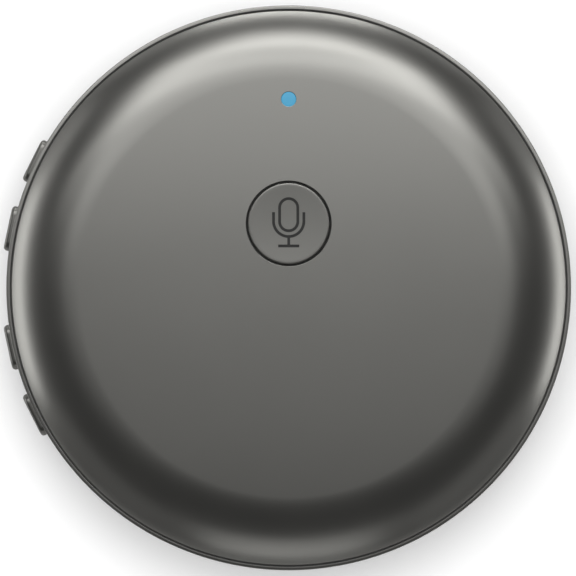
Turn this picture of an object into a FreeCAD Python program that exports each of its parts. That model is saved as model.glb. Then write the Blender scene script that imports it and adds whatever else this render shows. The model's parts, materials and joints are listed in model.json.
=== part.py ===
import FreeCAD
import Part
import Sketcher
import math
import os
import re

# Handheld translator, millimetres. The case lies on its back on the rubber
# foot ring: +Z is up through the talk button and +Y is the lamp side.
SIZES = {
    # Case, from the base up
    "case_radius": 33.5,
    "case_height": 13.0,
    "base_gap": 0.5,
    "parting_web": 0.4,
    "parting_groove": 0.2,
    "parting_depth": 0.9,
    "ledge_web": 0.25,
    "rim_drop": 0.12,
    "rim_width": 0.4,
    "rim_chamfer": 0.12,
    "frame_wall": 1.75,
    # Front cover
    "cover_groove": 0.25,
    "cover_wall": 1.4,
    "shoulder_width": 8.15,
    "crown_drop": 0.8,
    "shoulder_radius": 13.0,
    # Back cover
    "back_step": 0.25,
    "back_wall": 1.2,
    "back_curve_width": 5.05,
    "back_floor_step": 0.3,
    "back_lip_height": 0.45,
    "back_lip_width": 0.9,
    "lip_clearance": 0.15,
    # Foot ring
    "foot_outer_radius": 23.4,
    "foot_width": 2.2,
    "foot_seat_depth": 0.35,
    "foot_clearance": 0.05,
    "foot_round": 0.2,
    # Case screws and the posts that they pass
    "screw_count": 4,
    "screw_angle": 45.0,
    "screw_inset": 5.75,
    "screw_shank_radius": 0.75,
    "screw_head_radius": 1.3,
    "screw_head_height": 0.8,
    "screw_tip_gap": 0.2,
    "screw_hex_radius": 0.65,
    "screw_hex_depth": 0.4,
    "screw_clearance": 0.1,
    "screw_sink": 1.5,
    "pilot_depth": 3.2,
    "post_radius": 2.2,
    "lug_thickness": 1.0,
    # Circuit board
    "board_inset": 2.75,
    "board_clear": 0.85,
    "board_thickness": 0.8,
    "head_room": 4.6,
    # Talk button, its guide and its switch
    "talk_offset": 7.6,
    "talk_radius": 4.78,
    "talk_gap": 0.27,
    "talk_top_drop": 0.1,
    "talk_edge": 0.14,
    "talk_dish": 0.12,
    "talk_height": 1.7,
    "talk_flange_radius": 5.6,
    "talk_flange_height": 0.5,
    "talk_stem_radius": 1.4,
    "talk_travel": 0.4,
    "guide_gap": 0.15,
    "guide_wall": 0.8,
    "guide_height": 1.7,
    "talk_switch_width": 5.2,
    "talk_switch_height": 1.6,
    "talk_plunger_radius": 1.25,
    "talk_plunger_length": 1.2,
    "talk_plunger_depth": 0.4,
    "plunger_clearance": 0.08,
    # Microphone symbol sunk into the talk button
    "symbol_depth": 0.15,
    "symbol_line": 0.31,
    "capsule_width": 2.15,
    "capsule_height": 3.8,
    "capsule_offset": 1.04,
    "cradle_width": 3.58,
    "cradle_top": 1.33,
    "cradle_bottom": 1.54,
    "symbol_foot": 2.65,
    "symbol_foot_width": 2.48,
    # Status lamp
    "lamp_inset": 2.4,
    "lamp_radius": 0.85,
    "lamp_clearance": 0.05,
    "lamp_sink": 0.7,
    "lamp_led_gap": 0.4,
    "lamp_flange_radius": 1.35,
    "lamp_flange_height": 0.5,
    "lamp_flange_drop": 1.75,
    "led_length": 1.6,
    "led_width": 0.8,
    "led_height": 0.7,
    "shield_radius": 2.0,
    "shield_wall": 0.6,
    "shield_height": 2.6,
    # Side keys, switches and plungers
    "key_inner_angle": 12.1,
    "key_outer_angle": 26.6,
    "key_length": 5.4,
    "key_width": 2.2,
    "key_stand": 0.65,
    "key_clearance": 0.12,
    "key_round": 0.4,
    "key_flange_overlap": 0.45,
    "key_flange_thickness": 0.5,
    "key_flange_gap": 0.55,
    "key_stem_length": 1.1,
    "key_stem_width": 1.6,
    "key_stem_height": 1.2,
    "key_travel": 0.25,
    "key_switch_length": 3.5,
    "key_switch_depth": 2.3,
    "key_switch_height": 1.6,
    "key_switch_inset": 0.1,
    "key_plunger_length": 1.5,
    "key_plunger_width": 0.9,
    "key_plunger_depth": 0.6,
    "plunger_end_gap": 0.1,
    # Charging port, USB-C
    "port_width": 8.94,
    "port_height": 3.2,
    "port_depth": 7.3,
    "port_wall": 0.3,
    "port_inset": 0.5,
    "port_clearance": 0.1,
    "port_base_depth": 1.3,
    "tongue_width": 6.7,
    "tongue_height": 0.7,
    "tongue_length": 4.4,
    # Microphones and their rubber channels
    "microphone_upper_angle": 90.0,
    "microphone_lower_angle": -68.0,
    "microphone_length": 3.5,
    "microphone_depth": 2.65,
    "microphone_height": 1.3,
    "microphone_inset": 2.75,
    "boot_width": 3.2,
    "boot_height": 1.5,
    "boot_gap": 0.05,
    "sound_hole_radius": 0.5,
    # Speaker behind the back grille
    "speaker_offset": 13.0,
    "speaker_radius": 9.0,
    "speaker_rim": 1.0,
    "speaker_height": 1.5,
    "speaker_plate": 0.5,
    "speaker_gap": 0.15,
    "magnet_radius": 5.0,
    "magnet_clearance": 0.05,
    "magnet_top_gap": 0.9,
    "cone_thickness": 0.25,
    "cone_lift": 0.15,
    "cone_clearance": 0.1,
    "mesh_thickness": 0.1,
    "mesh_inset": 0.4,
    "gasket_width": 1.6,
    "gasket_thickness": 0.3,
    "speaker_rib": 0.8,
    "speaker_rib_height": 1.3,
    "grille_pitch": 2.1,
    "grille_hole_radius": 0.45,
    # Battery with its pad, plug and socket
    "battery_width": 28.0,
    "battery_length": 25.0,
    "battery_gap": 0.95,
    "battery_corner": 1.5,
    "battery_round": 0.6,
    "pad_thickness": 0.25,
    "pad_margin": 2.0,
    "socket_place": -14.5,
    "socket_offset": -9.5,
    "socket_width": 4.4,
    "socket_depth": 2.6,
    "socket_height": 1.4,
    "plug_width": 3.4,
    "plug_depth": 2.2,
    "plug_height": 1.0,
    # Wires
    "wire_radius": 0.3,
    "wire_pitch": 1.2,
    # Parts on the top side of the board
    "can_width": 13.0,
    "can_length": 11.0,
    "can_height": 1.4,
    "can_place": -11.0,
    "can_offset": -8.5,
    "radio_width": 12.0,
    "radio_length": 9.0,
    "radio_height": 1.6,
    "radio_place": 11.5,
    "radio_offset": -9.5,
    "antenna_width": 2.0,
    "antenna_length": 7.0,
    "antenna_height": 0.9,
    "antenna_inset": 5.0,
    "chip_size": 5.0,
    "chip_height": 0.9,
    "chip_place": 12.5,
    "chip_offset": 12.0,
}

doc = FreeCAD.newDocument("Translator")
sheet = doc.addObject("Spreadsheet::Sheet", "Sizes")
for row, (alias, number) in enumerate(SIZES.items(), 1):
    sheet.set("A%d" % row, alias)
    sheet.set("B%d" % row, str(number))
    sheet.setAlias("B%d" % row, alias)
doc.recompute()

pieces = []
UPWARD = FreeCAD.Vector(0, 0, 1)
LEFT = 1
RIGHT = -1
TOUCH = 1e-6

# Places that follow from the sizes
FLOOR = "(base_gap + back_wall)"
BATTERY_BOTTOM = "(%s + pad_thickness)" % FLOOR
CEILING = "(case_height - cover_wall)"
BOARD_TOP = "(%s - head_room)" % CEILING
BOARD_BOTTOM = "(%s - board_thickness)" % BOARD_TOP
BATTERY_TOP = "(%s - board_clear)" % BOARD_BOTTOM
BATTERY_HEIGHT = "(%s - %s)" % (BATTERY_TOP, BATTERY_BOTTOM)
SIDE_AXIS = "(%s - key_switch_height / 2)" % BOARD_BOTTOM
PARTING = "(%s - port_height / 2 - port_clearance - parting_web)" % SIDE_AXIS
LEDGE = "(%s + port_height / 2 + port_clearance + ledge_web)" % SIDE_AXIS
COVER_RADIUS = "(case_radius - rim_width - cover_groove)"
FACE_RADIUS = "(%s - shoulder_width)" % COVER_RADIUS
CROWN_RADIUS = "((%s^2 + crown_drop^2) / (2 * crown_drop))" % FACE_RADIUS
FACE_EDGE = "(case_height - crown_drop)"
FACE_SINE = "(%s / %s)" % (FACE_RADIUS, CROWN_RADIUS)
FACE_COSINE = "sqrt(1 - %s^2)" % FACE_SINE
EDGE_SINE = "(%s + shoulder_width / shoulder_radius)" % FACE_SINE
EDGE_COSINE = "sqrt(1 - %s^2)" % EDGE_SINE
COVER_EDGE = "(%s - shoulder_radius * (%s - %s))" % (FACE_EDGE, FACE_COSINE, EDGE_COSINE)
RIM_TOP = "(%s - rim_drop)" % COVER_EDGE
FRAME_INNER = "(case_radius - frame_wall)"
BOARD_RADIUS = "(%s - board_inset)" % FRAME_INNER
MICROPHONE_FACE = "(%s - microphone_inset)" % FRAME_INNER
BACK_RIM = "(case_radius - back_step)"
BACK_FLAT = "(%s - back_curve_width)" % BACK_RIM
FOOT_INNER = "(foot_outer_radius - foot_width)"
SCREW_CIRCLE = "(%s - screw_inset)" % FRAME_INNER
LUG_BOTTOM = "(%s - lug_thickness)" % BOARD_BOTTOM
SCREW_SEAT = "(base_gap + screw_sink)"
SCREW_END = "(%s + pilot_depth - screw_tip_gap)" % BOARD_TOP
SCREW_HOLE = "(screw_shank_radius + screw_clearance)"
TALK_HOLE = "(talk_radius + talk_gap)"
TALK_TOP = "(case_height - talk_top_drop)"
TALK_FLANGE_TOP = "(%s - talk_height)" % TALK_TOP
TALK_FLANGE_BOTTOM = "(%s - talk_flange_height)" % TALK_FLANGE_TOP
TALK_SWITCH_TOP = "(%s + talk_switch_height)" % BOARD_TOP
TALK_PLUNGER_BOTTOM = "(%s - talk_plunger_depth)" % TALK_SWITCH_TOP
TALK_PLUNGER_TOP = "(%s + talk_plunger_length)" % TALK_PLUNGER_BOTTOM
KEY_FLANGE_FACE = "(%s - key_flange_gap)" % FRAME_INNER
KEY_FLANGE_BACK = "(%s - key_flange_thickness)" % KEY_FLANGE_FACE
KEY_STEM_END = "(%s - key_stem_length)" % KEY_FLANGE_BACK
KEY_SWITCH_FACE = "(%s - key_switch_inset)" % BOARD_RADIUS
KEY_PLUNGER_END = "(%s - key_plunger_depth)" % KEY_SWITCH_FACE
PORT_MOUTH = "(case_radius - port_inset)"
MESH_TOP = "(%s + mesh_thickness)" % FLOOR
SPEAKER_BOTTOM = "(%s + gasket_thickness)" % MESH_TOP
SPEAKER_TOP = "(%s + speaker_height)" % SPEAKER_BOTTOM
RIB_INNER = "(speaker_radius + speaker_gap)"
BATTERY_EDGE = "(%s + speaker_rib + battery_gap - speaker_offset)" % RIB_INNER
BATTERY_PLACE = "(%s + battery_length / 2)" % BATTERY_EDGE
LAMP_PLACE = "(%s - lamp_inset)" % FACE_RADIUS
LAMP_TOP = "(case_height - lamp_sink)"
LAMP_BOTTOM = "(%s + led_height + lamp_led_gap)" % BOARD_TOP


def linked(formula):
    """Name the sheet before each alias in a formula."""
    return re.sub(r"\b[a-z]+(?:_[a-z]+)+\b", lambda found: "Sizes." + found.group(0), formula)


def value(formula):
    return float(sheet.evalExpression(linked(formula)))


def bind(item, setting, formula):
    item.setExpression(setting, linked(formula))


def new_body(label):
    body = doc.addObject("PartDesign::Body", label)
    body.Label = label
    body.AllowCompound = True
    pieces.append(body)
    return body


def place(item, across="0", along="0", up="0", turn="0"):
    """Place a piece, turned about the vertical."""
    item.Placement = FreeCAD.Placement(FreeCAD.Vector(), FreeCAD.Rotation(UPWARD, value(turn)))
    bind(item, "Placement.Base.x", across)
    bind(item, "Placement.Base.y", along)
    bind(item, "Placement.Base.z", up)
    bind(item, "Placement.Rotation.Angle", turn)


def sketch_on(body, name, role, height="0", axis=UPWARD, turn="0"):
    """Sketch on an origin plane, lifted by height and turned about a sketch axis."""
    sketch = body.newObject("Sketcher::SketchObject", name)
    plane = next(item for item in body.Origin.OriginFeatures if item.Role == role)
    sketch.AttachmentSupport = [(plane, "")]
    sketch.MapMode = "FlatFace"
    rotation = FreeCAD.Rotation(axis, value(turn))
    sketch.AttachmentOffset = FreeCAD.Placement(FreeCAD.Vector(0, 0, value(height)), rotation)
    bind(sketch, "AttachmentOffset.Base.z", height)
    if turn != "0":
        bind(sketch, "AttachmentOffset.Rotation.Angle", turn)
    return sketch


def fix_point(sketch, index, end, across, up):
    for kind, axis, formula in (("DistanceX", "x", across), ("DistanceY", "y", up)):
        limit = Sketcher.Constraint(kind, -1, 1, index, end, value(formula))
        number = sketch.addConstraint(limit)
        name = "%s%d" % (axis, index)
        sketch.renameConstraint(number, name)
        bind(sketch, "Constraints." + name, formula)


def fix_radius(sketch, index, formula):
    number = sketch.addConstraint(Sketcher.Constraint("Radius", index, value(formula)))
    name = "radius%d" % index
    sketch.renameConstraint(number, name)
    bind(sketch, "Constraints." + name, formula)


def bend_curve(start, end, radius, side):
    """Short arc from start to end with its centre on the given side of the way."""
    chord = end - start
    middle = (start + end) * 0.5
    normal = FreeCAD.Vector(-chord.y, chord.x, 0).normalize() * side
    reach = math.sqrt(max(radius ** 2 - (chord.Length / 2) ** 2, 0.0))
    centre = middle + normal * reach
    circle = Part.Circle(centre, UPWARD, radius)
    first = math.atan2(start.y - centre.y, start.x - centre.x)
    last = math.atan2(end.y - centre.y, end.x - centre.x)
    if side == LEFT:
        return Part.ArcOfCircle(circle, first, last)
    return Part.ArcOfCircle(circle, last, first)


def add_outline(sketch, corners, bends=None):
    """Closed outline through corners; bends gives a side's radius and centre side."""
    bends = bends or {}
    first = sketch.GeometryCount
    points = [FreeCAD.Vector(value(across), value(up), 0) for across, up in corners]
    count = len(points)
    ends = []
    for side in range(count):
        start, end = points[side], points[(side + 1) % count]
        if side in bends:
            formula, hand = bends[side]
            sketch.addGeometry(bend_curve(start, end, value(formula), hand), False)
            ends.append((1, 2) if hand == LEFT else (2, 1))
        else:
            sketch.addGeometry(Part.LineSegment(start, end), False)
            ends.append((1, 2))
    for side in range(count):
        following = (side + 1) % count
        join = Sketcher.Constraint("Coincident", first + side, ends[side][1],
                                   first + following, ends[following][0])
        sketch.addConstraint(join)
    for side, (across, up) in enumerate(corners):
        fix_point(sketch, first + side, ends[side][0], across, up)
    for side, (formula, _) in bends.items():
        fix_radius(sketch, first + side, formula)


def add_circle(sketch, across, up, radius):
    centre = FreeCAD.Vector(value(across), value(up), 0)
    index = sketch.addGeometry(Part.Circle(centre, UPWARD, value(radius)), False)
    fix_point(sketch, index, 3, across, up)
    fix_radius(sketch, index, radius)


def add_box(sketch, across, up, width, height):
    left, right = ("(%s) - (%s) / 2" % (across, width)), ("(%s) + (%s) / 2" % (across, width))
    low, high = ("(%s) - (%s) / 2" % (up, height)), ("(%s) + (%s) / 2" % (up, height))
    add_outline(sketch, [(left, low), (right, low), (right, high), (left, high)])


def add_stadium(sketch, across, up, length, width):
    """Long round-ended outline lying along the sketch's first axis."""
    reach = "((%s) / 2)" % length
    half = "((%s) / 2)" % width
    left = "(%s) - (%s - %s)" % (across, reach, half)
    right = "(%s) + (%s - %s)" % (across, reach, half)
    low, high = "(%s) - %s" % (up, half), "(%s) + %s" % (up, half)
    corners = [
        (left, low), (right, low), ("(%s) + %s" % (across, reach), up),
        (right, high), (left, high), ("(%s) - %s" % (across, reach), up),
    ]
    add_outline(sketch, corners, {side: (half, LEFT) for side in (1, 2, 4, 5)})


def add_rounded_box(sketch, across, up, width, height, corner):
    corners = []
    for way, rise, flat_first in ((1, -1, True), (1, 1, False), (-1, 1, True), (-1, -1, False)):
        edge = "(%s) + %d * (%s) / 2" % (across, way, width)
        shelf = "(%s) + %d * (%s) / 2" % (up, rise, height)
        near_edge = "%s - %d * (%s)" % (edge, way, corner)
        near_shelf = "%s - %d * (%s)" % (shelf, rise, corner)
        pair = [(near_edge, shelf), (edge, near_shelf)]
        corners += pair if flat_first else pair[::-1]
    add_outline(sketch, corners, {side: (corner, LEFT) for side in (0, 2, 4, 6)})


def add_feature(body, kind, name, sketch, length=None, flipped=False, through=False):
    """Pad, Pocket or Revolution of a sketch, with a check that it changed the solid."""
    doc.recompute()
    before = body.Shape.Volume if body.Tip else 0.0
    feature = body.newObject("PartDesign::" + kind, name)
    feature.Profile = sketch
    if kind in ("Revolution", "Groove"):
        feature.ReferenceAxis = (sketch, ["V_Axis"])
        feature.Angle = 360
    else:
        feature.Reversed = flipped
        if through:
            feature.Type = "ThroughAll"
        else:
            bind(feature, "Length", length)
    doc.recompute()
    change = feature.Shape.Volume - before
    if kind in ("Pocket", "Groove"):
        change = -change
    if change <= 0:
        raise ValueError("%s does not change %s" % (name, body.Label))
    return feature


def revolved(body, name, corners, bends=None):
    sketch = sketch_on(body, name + "Profile", "XZ_Plane")
    add_outline(sketch, corners, bends)
    return add_feature(body, "Revolution", name, sketch)


def around_case(body, name, features):
    """Repeat features once at each case screw."""
    pattern = body.newObject("PartDesign::PolarPattern", name)
    pattern.Originals = features
    axis = next(item for item in body.Origin.OriginFeatures if item.Role == "Z_Axis")
    pattern.Axis = (axis, [""])
    pattern.Angle = 360
    bind(pattern, "Occurrences", "screw_count")
    body.Tip = pattern
    doc.recompute()
    return pattern


def round_edges(body, name, feature, chosen, radius):
    """Fillet the edges of a feature that pass the test."""
    names = []
    for number, edge in enumerate(feature.Shape.Edges, 1):
        if chosen(edge):
            names.append("Edge%d" % number)
    fillet = body.newObject("PartDesign::Fillet", name)
    fillet.Base = (feature, names)
    bind(fillet, "Radius", radius)
    doc.recompute()
    return fillet


def block(label, across, along, up, width, length, height):
    """Plain box, centred across and along."""
    box = doc.addObject("Part::Box", label)
    box.Label = label
    bind(box, "Length", width)
    bind(box, "Width", length)
    bind(box, "Height", height)
    place(box, "(%s) - (%s) / 2" % (across, width), "(%s) - (%s) / 2" % (along, length), up)
    pieces.append(box)
    return box


def at_screw(body, name, height):
    return sketch_on(body, name, "XY_Plane", height, UPWARD, "screw_angle")


def make_top_cover():
    body = new_body("top_cover")
    inner_edge = "(%s - cover_wall * %s)" % (COVER_RADIUS, EDGE_SINE)
    revolved(body, "CoverShell", [
        ("0", "case_height"),
        (FACE_RADIUS, FACE_EDGE),
        (COVER_RADIUS, COVER_EDGE),
        (COVER_RADIUS, LEDGE),
        (inner_edge, LEDGE),
        (inner_edge, "%s - cover_wall * %s" % (COVER_EDGE, EDGE_COSINE)),
        ("%s - cover_wall * %s" % (FACE_RADIUS, FACE_SINE),
         "%s - cover_wall * %s" % (FACE_EDGE, FACE_COSINE)),
        ("0", CEILING),
    ], {
        0: (CROWN_RADIUS, RIGHT),
        1: ("shoulder_radius", RIGHT),
        5: ("shoulder_radius - cover_wall", LEFT),
        6: ("%s - cover_wall" % CROWN_RADIUS, LEFT),
    })
    guide_inner = "(talk_flange_radius + guide_gap)"
    guide = sketch_on(body, "GuideOutline", "XY_Plane", "%s - guide_height" % CEILING)
    add_circle(guide, "0", "talk_offset", "%s + guide_wall" % guide_inner)
    add_circle(guide, "0", "talk_offset", guide_inner)
    add_feature(body, "Pad", "TalkGuide", guide, "guide_height + cover_wall / 3")
    hole = sketch_on(body, "TalkHoleOutline", "XY_Plane", "case_height")
    add_circle(hole, "0", "talk_offset", TALK_HOLE)
    add_feature(body, "Pocket", "TalkHole", hole, through=True)
    lamp = sketch_on(body, "LampHoleOutline", "XY_Plane", "case_height")
    add_circle(lamp, "0", LAMP_PLACE, "lamp_radius + lamp_clearance")
    add_feature(body, "Pocket", "LampHole", lamp, through=True)
    post = at_screw(body, "PostOutline", BOARD_TOP)
    add_circle(post, SCREW_CIRCLE, "0", "post_radius")
    post_height = "%s - 0.8 * cover_wall - %s" % (FACE_EDGE, BOARD_TOP)
    post_pad = add_feature(body, "Pad", "Post", post, post_height)
    pilot = at_screw(body, "PilotOutline", BOARD_TOP)
    add_circle(pilot, SCREW_CIRCLE, "0", "screw_shank_radius")
    pilot_cut = add_feature(body, "Pocket", "Pilot", pilot, "pilot_depth", flipped=True)
    around_case(body, "Posts", [post_pad, pilot_cut])


def radial_cut(body, name, angle, draw):
    """Cut outward from the axis through one side of the case wall."""
    sketch = sketch_on(body, name + "Outline", "YZ_Plane", "0", FreeCAD.Vector(0, 1, 0), angle)
    draw(sketch)
    add_feature(body, "Pocket", name, sketch, "2 * case_radius", flipped=True)


def make_mid_frame():
    body = new_body("mid_frame")
    revolved(body, "FrameRing", [
        (FRAME_INNER, PARTING),
        ("case_radius - rim_chamfer", PARTING),
        ("case_radius", "%s + rim_chamfer" % PARTING),
        ("case_radius", "%s - rim_chamfer" % RIM_TOP),
        ("case_radius - rim_chamfer", RIM_TOP),
        ("case_radius - rim_width", RIM_TOP),
        ("case_radius - rim_width", LEDGE),
        (FRAME_INNER, LEDGE),
    ])
    for number, angle in enumerate(KEY_ANGLES):
        radial_cut(body, "KeySlot%s" % "ABCD"[number], angle, lambda sketch: add_stadium(
            sketch, "0", SIDE_AXIS,
            "key_length + 2 * key_clearance", "key_width + 2 * key_clearance"))
    radial_cut(body, "PortMouth", "-90", lambda sketch: add_stadium(
        sketch, "0", SIDE_AXIS,
        "port_width + 2 * port_clearance", "port_height + 2 * port_clearance"))
    for name, angle in (("UpperSoundHole", "microphone_upper_angle"),
                        ("LowerSoundHole", "microphone_lower_angle")):
        radial_cut(body, name, angle, lambda sketch: add_circle(
            sketch, "0", SIDE_AXIS, "sound_hole_radius"))
    lug = at_screw(body, "LugOutline", LUG_BOTTOM)
    wall_reach = "%s + frame_wall / 3" % FRAME_INNER
    add_outline(lug, [
        (wall_reach, "-post_radius"),
        (wall_reach, "post_radius"),
        (SCREW_CIRCLE, "post_radius"),
        ("%s - post_radius" % SCREW_CIRCLE, "0"),
        (SCREW_CIRCLE, "-post_radius"),
    ], {2: ("post_radius", LEFT), 3: ("post_radius", LEFT)})
    lug_pad = add_feature(body, "Pad", "Lug", lug, "lug_thickness")
    bore = at_screw(body, "LugHoleOutline", BOARD_BOTTOM)
    add_circle(bore, SCREW_CIRCLE, "0", SCREW_HOLE)
    bore_cut = add_feature(body, "Pocket", "LugHole", bore, "lug_thickness")
    around_case(body, "Lugs", [lug_pad, bore_cut])


def make_back_cover():
    body = new_body("back_cover")
    rim_top = "(%s - parting_groove)" % PARTING
    lip_outer = "(%s - lip_clearance)" % FRAME_INNER
    lip_inner = "(%s - back_lip_width)" % lip_outer
    groove_top = "(base_gap + foot_seat_depth)"
    outer_bend = "((back_curve_width^2 + (%s - base_gap)^2) / (2 * (%s - base_gap)))" % (
        rim_top, rim_top)
    seat = "(case_radius - parting_depth)"
    inner_flat = "(%s - back_floor_step)" % BACK_FLAT
    inner_bend = "(((%s - %s)^2 + (%s - %s)^2) / (2 * (%s - %s)))" % (
        lip_inner, inner_flat, rim_top, FLOOR, rim_top, FLOOR)
    revolved(body, "BackShell", [
        ("0", "base_gap"),
        ("%s - foot_clearance" % FOOT_INNER, "base_gap"),
        ("%s - foot_clearance" % FOOT_INNER, groove_top),
        ("foot_outer_radius + foot_clearance", groove_top),
        ("foot_outer_radius + foot_clearance", "base_gap"),
        (BACK_FLAT, "base_gap"),
        (BACK_RIM, rim_top),
        (seat, rim_top),
        (seat, PARTING),
        (lip_outer, PARTING),
        (lip_outer, "%s + back_lip_height" % PARTING),
        (lip_inner, "%s + back_lip_height" % PARTING),
        (lip_inner, rim_top),
        (inner_flat, FLOOR),
        ("0", FLOOR),
    ], {5: (outer_bend, LEFT), 12: (inner_bend, RIGHT)})
    rib = sketch_on(body, "SpeakerRibOutline", "XY_Plane", "%s - back_wall / 3" % FLOOR)
    add_circle(rib, "0", "-speaker_offset", "%s + speaker_rib" % RIB_INNER)
    add_circle(rib, "0", "-speaker_offset", RIB_INNER)
    add_feature(body, "Pad", "SpeakerRib", rib, "speaker_rib_height + back_wall / 3")
    grille = sketch_on(body, "GrilleOutline", "XY_Plane", FLOOR)
    add_circle(grille, "0", "-speaker_offset", "grille_hole_radius")
    for ring in (1, 2, 3):
        holes = 6 * ring
        for hole in range(holes):
            angle = 360 * hole / holes
            add_circle(grille, "%d * grille_pitch * cos(%g)" % (ring, angle),
                       "%d * grille_pitch * sin(%g) - speaker_offset" % (ring, angle),
                       "grille_hole_radius")
    add_feature(body, "Pocket", "Grille", grille, through=True)
    post = at_screw(body, "PostOutline", "%s - back_wall / 3" % FLOOR)
    add_circle(post, SCREW_CIRCLE, "0", "post_radius")
    post_pad = add_feature(body, "Pad", "Post", post,
                           "%s - %s + back_wall / 3" % (LUG_BOTTOM, FLOOR))
    bore = at_screw(body, "ScrewHoleOutline", LUG_BOTTOM)
    add_circle(bore, SCREW_CIRCLE, "0", SCREW_HOLE)
    bore_cut = add_feature(body, "Pocket", "ScrewHole", bore, "%s - base_gap" % LUG_BOTTOM)
    sink = at_screw(body, "ScrewSinkOutline", SCREW_SEAT)
    add_circle(sink, SCREW_CIRCLE, "0", "screw_head_radius + screw_clearance")
    sink_cut = add_feature(body, "Pocket", "ScrewSink", sink, "2 * screw_sink")
    around_case(body, "Posts", [post_pad, bore_cut, sink_cut])


def make_foot_ring():
    top = "(base_gap + foot_seat_depth)"
    revolved(new_body("foot_ring"), "Foot", [
        (FOOT_INNER, "foot_round"),
        ("%s + foot_round" % FOOT_INNER, "0"),
        ("foot_outer_radius - foot_round", "0"),
        ("foot_outer_radius", "foot_round"),
        ("foot_outer_radius", top),
        (FOOT_INNER, top),
    ], {0: ("foot_round", LEFT), 2: ("foot_round", LEFT)})


def make_case_screws():
    body = new_body("case_screws")
    sketch = sketch_on(body, "ScrewProfile", "XZ_Plane")
    bind(sketch, "AttachmentOffset.Base.x", SCREW_CIRCLE)
    add_outline(sketch, [
        ("0", "%s - screw_head_height" % SCREW_SEAT),
        ("screw_head_radius", "%s - screw_head_height" % SCREW_SEAT),
        ("screw_head_radius", SCREW_SEAT),
        ("screw_shank_radius", SCREW_SEAT),
        ("screw_shank_radius", SCREW_END),
        ("0", SCREW_END),
    ])
    screw = add_feature(body, "Revolution", "Screw", sketch)
    drive = sketch_on(body, "DriveOutline", "XY_Plane", "%s - screw_head_height" % SCREW_SEAT)
    corners = []
    for corner in range(6):
        corners.append(("%s + screw_hex_radius * cos(%d)" % (SCREW_CIRCLE, 60 * corner),
                        "screw_hex_radius * sin(%d)" % (60 * corner)))
    add_outline(drive, corners)
    socket = add_feature(body, "Pocket", "Drive", drive, "screw_hex_depth", flipped=True)
    around_case(body, "Screws", [screw, socket])
    place(body, turn="screw_angle")


def make_main_board():
    body = new_body("main_board")
    disc = sketch_on(body, "BoardOutline", "XY_Plane", BOARD_BOTTOM)
    add_circle(disc, "0", "0", BOARD_RADIUS)
    add_feature(body, "Pad", "BoardDisc", disc, "board_thickness")
    notch = sketch_on(body, "PortNotchOutline", "XY_Plane", BOARD_TOP)
    notch_width = "port_width + 2 * port_clearance"
    notch_end = "-(%s - port_depth - port_clearance)" % PORT_MOUTH
    half = "(%s) / 2" % notch_width
    add_outline(notch, [
        ("-(%s)" % half, "-case_radius"), (half, "-case_radius"),
        (half, notch_end), ("-(%s)" % half, notch_end),
    ])
    add_feature(body, "Pocket", "PortNotch", notch, through=True)
    bore = at_screw(body, "BoardHoleOutline", BOARD_TOP)
    add_circle(bore, SCREW_CIRCLE, "0", SCREW_HOLE)
    bore_cut = add_feature(body, "Pocket", "BoardHole", bore, "board_thickness")
    around_case(body, "BoardHoles", [bore_cut])


def symbol_cut(body, name, draw):
    sketch = sketch_on(body, name + "Outline", "XY_Plane", TALK_TOP)
    draw(sketch)
    add_feature(body, "Pocket", name, sketch, "talk_dish + symbol_depth")


def draw_capsule(sketch):
    """Round-ended ring standing along the second axis."""
    for change in ("+ symbol_line", "- symbol_line"):
        half = "((capsule_width %s) / 2)" % change
        reach = "(capsule_height / 2 - capsule_width / 2)"
        low, high = "capsule_offset - %s" % reach, "capsule_offset + %s" % reach
        add_outline(sketch, [
            (half, low), (half, high), ("0", "%s + %s" % (high, half)),
            ("-" + half, high), ("-" + half, low), ("0", "%s - %s" % (low, half)),
        ], {side: (half, LEFT) for side in (1, 2, 4, 5)})


def draw_cradle(sketch):
    """Open bow under the capsule."""
    outer = "((cradle_width + symbol_line) / 2)"
    inner = "((cradle_width - symbol_line) / 2)"
    centre = "(cradle_width / 2 - cradle_bottom)"
    add_outline(sketch, [
        ("-" + outer, "cradle_top"), ("-" + outer, centre),
        ("0", "%s - %s" % (centre, outer)), (outer, centre), (outer, "cradle_top"),
        (inner, "cradle_top"), (inner, centre), ("0", "%s - %s" % (centre, inner)),
        ("-" + inner, centre), ("-" + inner, "cradle_top"),
    ], {1: (outer, LEFT), 2: (outer, LEFT), 6: (inner, RIGHT), 7: (inner, RIGHT)})


def make_talk_button():
    body = new_body("talk_button")
    edge = "(talk_radius - talk_edge)"
    dish_radius = "((%s^2 + talk_dish^2) / (2 * talk_dish))" % edge
    revolved(body, "Cap", [
        ("0", "%s - talk_dish" % TALK_TOP),
        (edge, TALK_TOP),
        ("talk_radius", "%s - talk_edge" % TALK_TOP),
        ("talk_radius", TALK_FLANGE_TOP),
        ("talk_flange_radius", TALK_FLANGE_TOP),
        ("talk_flange_radius", TALK_FLANGE_BOTTOM),
        ("talk_stem_radius", TALK_FLANGE_BOTTOM),
        ("talk_stem_radius", TALK_PLUNGER_TOP),
        ("0", TALK_PLUNGER_TOP),
    ], {0: (dish_radius, LEFT)})
    symbol_cut(body, "SymbolCapsule", draw_capsule)
    symbol_cut(body, "SymbolCradle", draw_cradle)
    symbol_cut(body, "SymbolStem", lambda sketch: add_box(
        sketch, "0", "-(symbol_foot + cradle_bottom) / 2",
        "symbol_line", "symbol_foot - cradle_bottom"))
    symbol_cut(body, "SymbolFoot", lambda sketch: add_box(
        sketch, "0", "-symbol_foot", "symbol_foot_width", "symbol_line"))
    place(body, along="talk_offset")


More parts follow.
